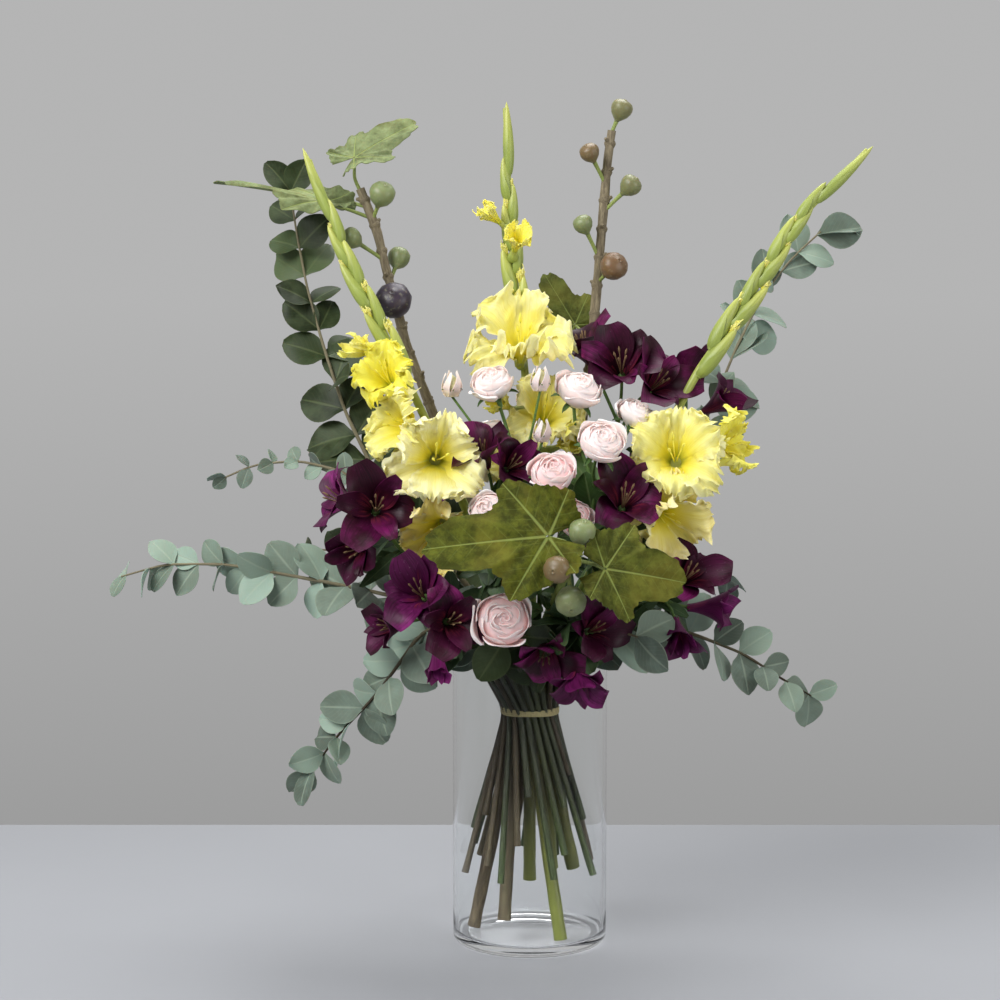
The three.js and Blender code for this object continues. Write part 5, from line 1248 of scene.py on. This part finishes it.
class BOUQUET_OT_eucalyptus(bpy.types.Operator):
    """Grow the eucalyptus branches"""

    bl_idname = "bouquet.eucalyptus"
    bl_label = "Eucalyptus"

    def execute(self, context):
        c = context.scene.bouquet_foliage
        pale = leaf_finish(
            "pale eucalyptus leaf", colour(c.pale), (0.25, 0.34, 0.28), (0.36, 0.43, 0.33), 0.5, 0.7
        )
        dark = leaf_finish(
            "dark eucalyptus leaf", colour(c.dark), (0.1, 0.135, 0.065), (0.12, 0.15, 0.06), 0.4, 0.1
        )
        bark = stem_finish("eucalyptus stem", (0.16, 0.13, 0.08), (0.24, 0.22, 0.13), 0.6)
        for number, (name, stem) in enumerate(EUCALYPTUS.items()):
            sizes, pairs, start, light, is_dark = stem[5:]
            luck = np.random.default_rng(40 + number)
            corners = stem_corners(stem)
            parts = [stem_tube(stem, 0.9, 1, taper=0.35 if name == "tall_left" else 0.8), cut_end(stem, 1)]
            k = np.arange(2 * pairs)
            pair = k // 2
            step = pair / (pairs - 1)
            where = start + (0.992 - start) * step
            roots = along_line(corners, where, 16)
            after = along_line(corners, np.minimum(where + 0.01, 1), 16)
            ahead = unit(after - along_line(corners, where - 0.01, 16))
            frames = axes(ahead, light)
            lean = 1.2 - 0.45 * step + luck.uniform(-0.15, 0.2, len(k))
            around = np.pi / 2 + (pair % 2) * 0.7 + (k % 2) * np.pi + luck.uniform(-0.4, 0.4, len(k))
            reach = xyz(np.sin(lean) * np.cos(around), np.sin(lean) * np.sin(around), np.cos(lean))
            reach = np.einsum("kx,kxd->kd", reach, frames)
            stray = 0.27 if name in ("tall_left", "back_left", "back_right") else 0.4
            facing = unit(0.75 * np.array(light) + 0.25 * ahead + stray * luck.normal(size=(len(k), 3)))
            lengths = (sizes[0] + (sizes[1] - sizes[0]) * step) * luck.uniform(0.8, 1.16, len(k))
            parts.append(round_leaves(roots, reach, facing, lengths, luck, 0))
            node = f"eucalyptus_{name}"
            piece(f"{node}_leaves", parts, [dark if is_dark else pale, bark], node)
        return {"FINISHED"}


class BOUQUET_OT_stage(bpy.types.Operator):
    """Set up the table, the lights, the world and the camera"""

    bl_idname = "bouquet.stage"
    bl_label = "Table, lights and camera"

    def execute(self, context):
        scene = context.scene
        c = scene.bouquet_stage
        f = Finish("table")
        grain = f.noise(3, 4)
        shade = f.mix(f.band(grain, 0.3, 0.7), darker(colour(c.floor), 0.97), colour(c.floor))
        top = f.done(shade, 0.55, grain, 0.02, 0.001)
        mesh = bpy.data.meshes.new("table")
        far, near, wide = 0.461, -3.0, 3.0
        mesh.from_pydata([(-wide, near, 0), (wide, near, 0), (wide, far, 0), (-wide, far, 0)], [], [(0, 1, 2, 3)])
        mesh.materials.append(top)
        table = bpy.data.objects.new("table", mesh)
        scene.collection.objects.link(table)
        world = bpy.data.worlds.new("studio")
        scene.world = world
        world.use_nodes = True
        links, nodes = world.node_tree.links, world.node_tree.nodes
        around = nodes.new("ShaderNodeTexCoord")
        parts = nodes.new("ShaderNodeSeparateXYZ")
        links.new(around.outputs["Generated"], parts.inputs[0])
        shades = []
        for axis, low, high, dim, bright in (("Z", -0.25, 0.0, 0.325, 0.46), ("Y", -0.1, 0.5, 0.45, 1.0)):
            shade = nodes.new("ShaderNodeMapRange")
            for label, number in zip(("From Min", "From Max", "To Min", "To Max"), (low, high, dim, bright)):
                shade.inputs[label].default_value = number
            links.new(parts.outputs[axis], shade.inputs["Value"])
            shades.append(shade.outputs[0])
        both = nodes.new("ShaderNodeMath")
        both.operation = "MULTIPLY"
        links.new(shades[0], both.inputs[0])
        links.new(shades[1], both.inputs[1])
        links.new(both.outputs[0], nodes["Background"].inputs["Color"])
        scene.view_settings.view_transform = "Standard"
        lamps = [
            ("key", (-1.5, -1.5, 2.0), (0, 0, 0.42), 1.8, c.key),
            ("fill", (1.9, -1.4, 1.1), (0, 0, 0.4), 1.6, 0.3 * c.key),
            ("top", (0.2, 0.6, 2.4), (0, 0, 0.4), 1.6, 0.55 * c.key),
        ]
        for name, at, aim, size, power in lamps:
            lamp = bpy.data.lights.new(name, "AREA")
            lamp.shape, lamp.size, lamp.energy = "DISK", size, power
            made = bpy.data.objects.new(name, lamp)
            made.location = at
            made.rotation_euler = (Vector(at) - Vector(aim)).to_track_quat("Z", "Y").to_euler()
            scene.collection.objects.link(made)
        lens = bpy.data.cameras.new("camera")
        lens.lens, lens.sensor_width, lens.clip_end = 78.7, 36.0, 50
        camera = bpy.data.objects.new("camera", lens)
        camera.location = (-0.029, -2.1, 0.622)
        camera.rotation_euler = (np.radians(84.8), 0, 0)
        scene.collection.objects.link(camera)
        scene.camera = camera
        return {"FINISHED"}


class BOUQUET_PT_panel(bpy.types.Panel):
    """Lists the settings and the pieces of the bouquet"""

    bl_idname = "BOUQUET_PT_panel"
    bl_label = "Bouquet"
    bl_space_type = "VIEW_3D"
    bl_region_type = "UI"
    bl_category = "Bouquet"

    def draw(self, context):
        for name in SETTINGS:
            settings = getattr(context.scene, name)
            box = self.layout.box()
            for label in settings.__annotations__:
                box.prop(settings, label)
        for operator in OPERATORS:
            self.layout.operator(operator.bl_idname)


OPERATORS = (
    BOUQUET_OT_vase,
    BOUQUET_OT_tie,
    BOUQUET_OT_gladioli,
    BOUQUET_OT_figs,
    BOUQUET_OT_roses,
    BOUQUET_OT_alstroemeria,
    BOUQUET_OT_eucalyptus,
    BOUQUET_OT_stage,
)
SETTINGS = {
    "bouquet_vase": VaseSettings,
    "bouquet_flowers": FlowerSettings,
    "bouquet_foliage": FoliageSettings,
    "bouquet_stage": StageSettings,
}


def register():
    for made in (*SETTINGS.values(), *OPERATORS, BOUQUET_PT_panel):
        bpy.utils.register_class(made)
    for name, group in SETTINGS.items():
        setattr(bpy.types.Scene, name, PointerProperty(type=group))


def unregister():
    for name in SETTINGS:
        delattr(bpy.types.Scene, name)
    for made in (BOUQUET_PT_panel, *reversed(OPERATORS), *reversed(list(SETTINGS.values()))):
        bpy.utils.unregister_class(made)


def main():
    register()
    for operator in OPERATORS:
        getattr(bpy.ops.bouquet, operator.bl_idname.split(".")[1])()


if __name__ == "__main__":
    main()
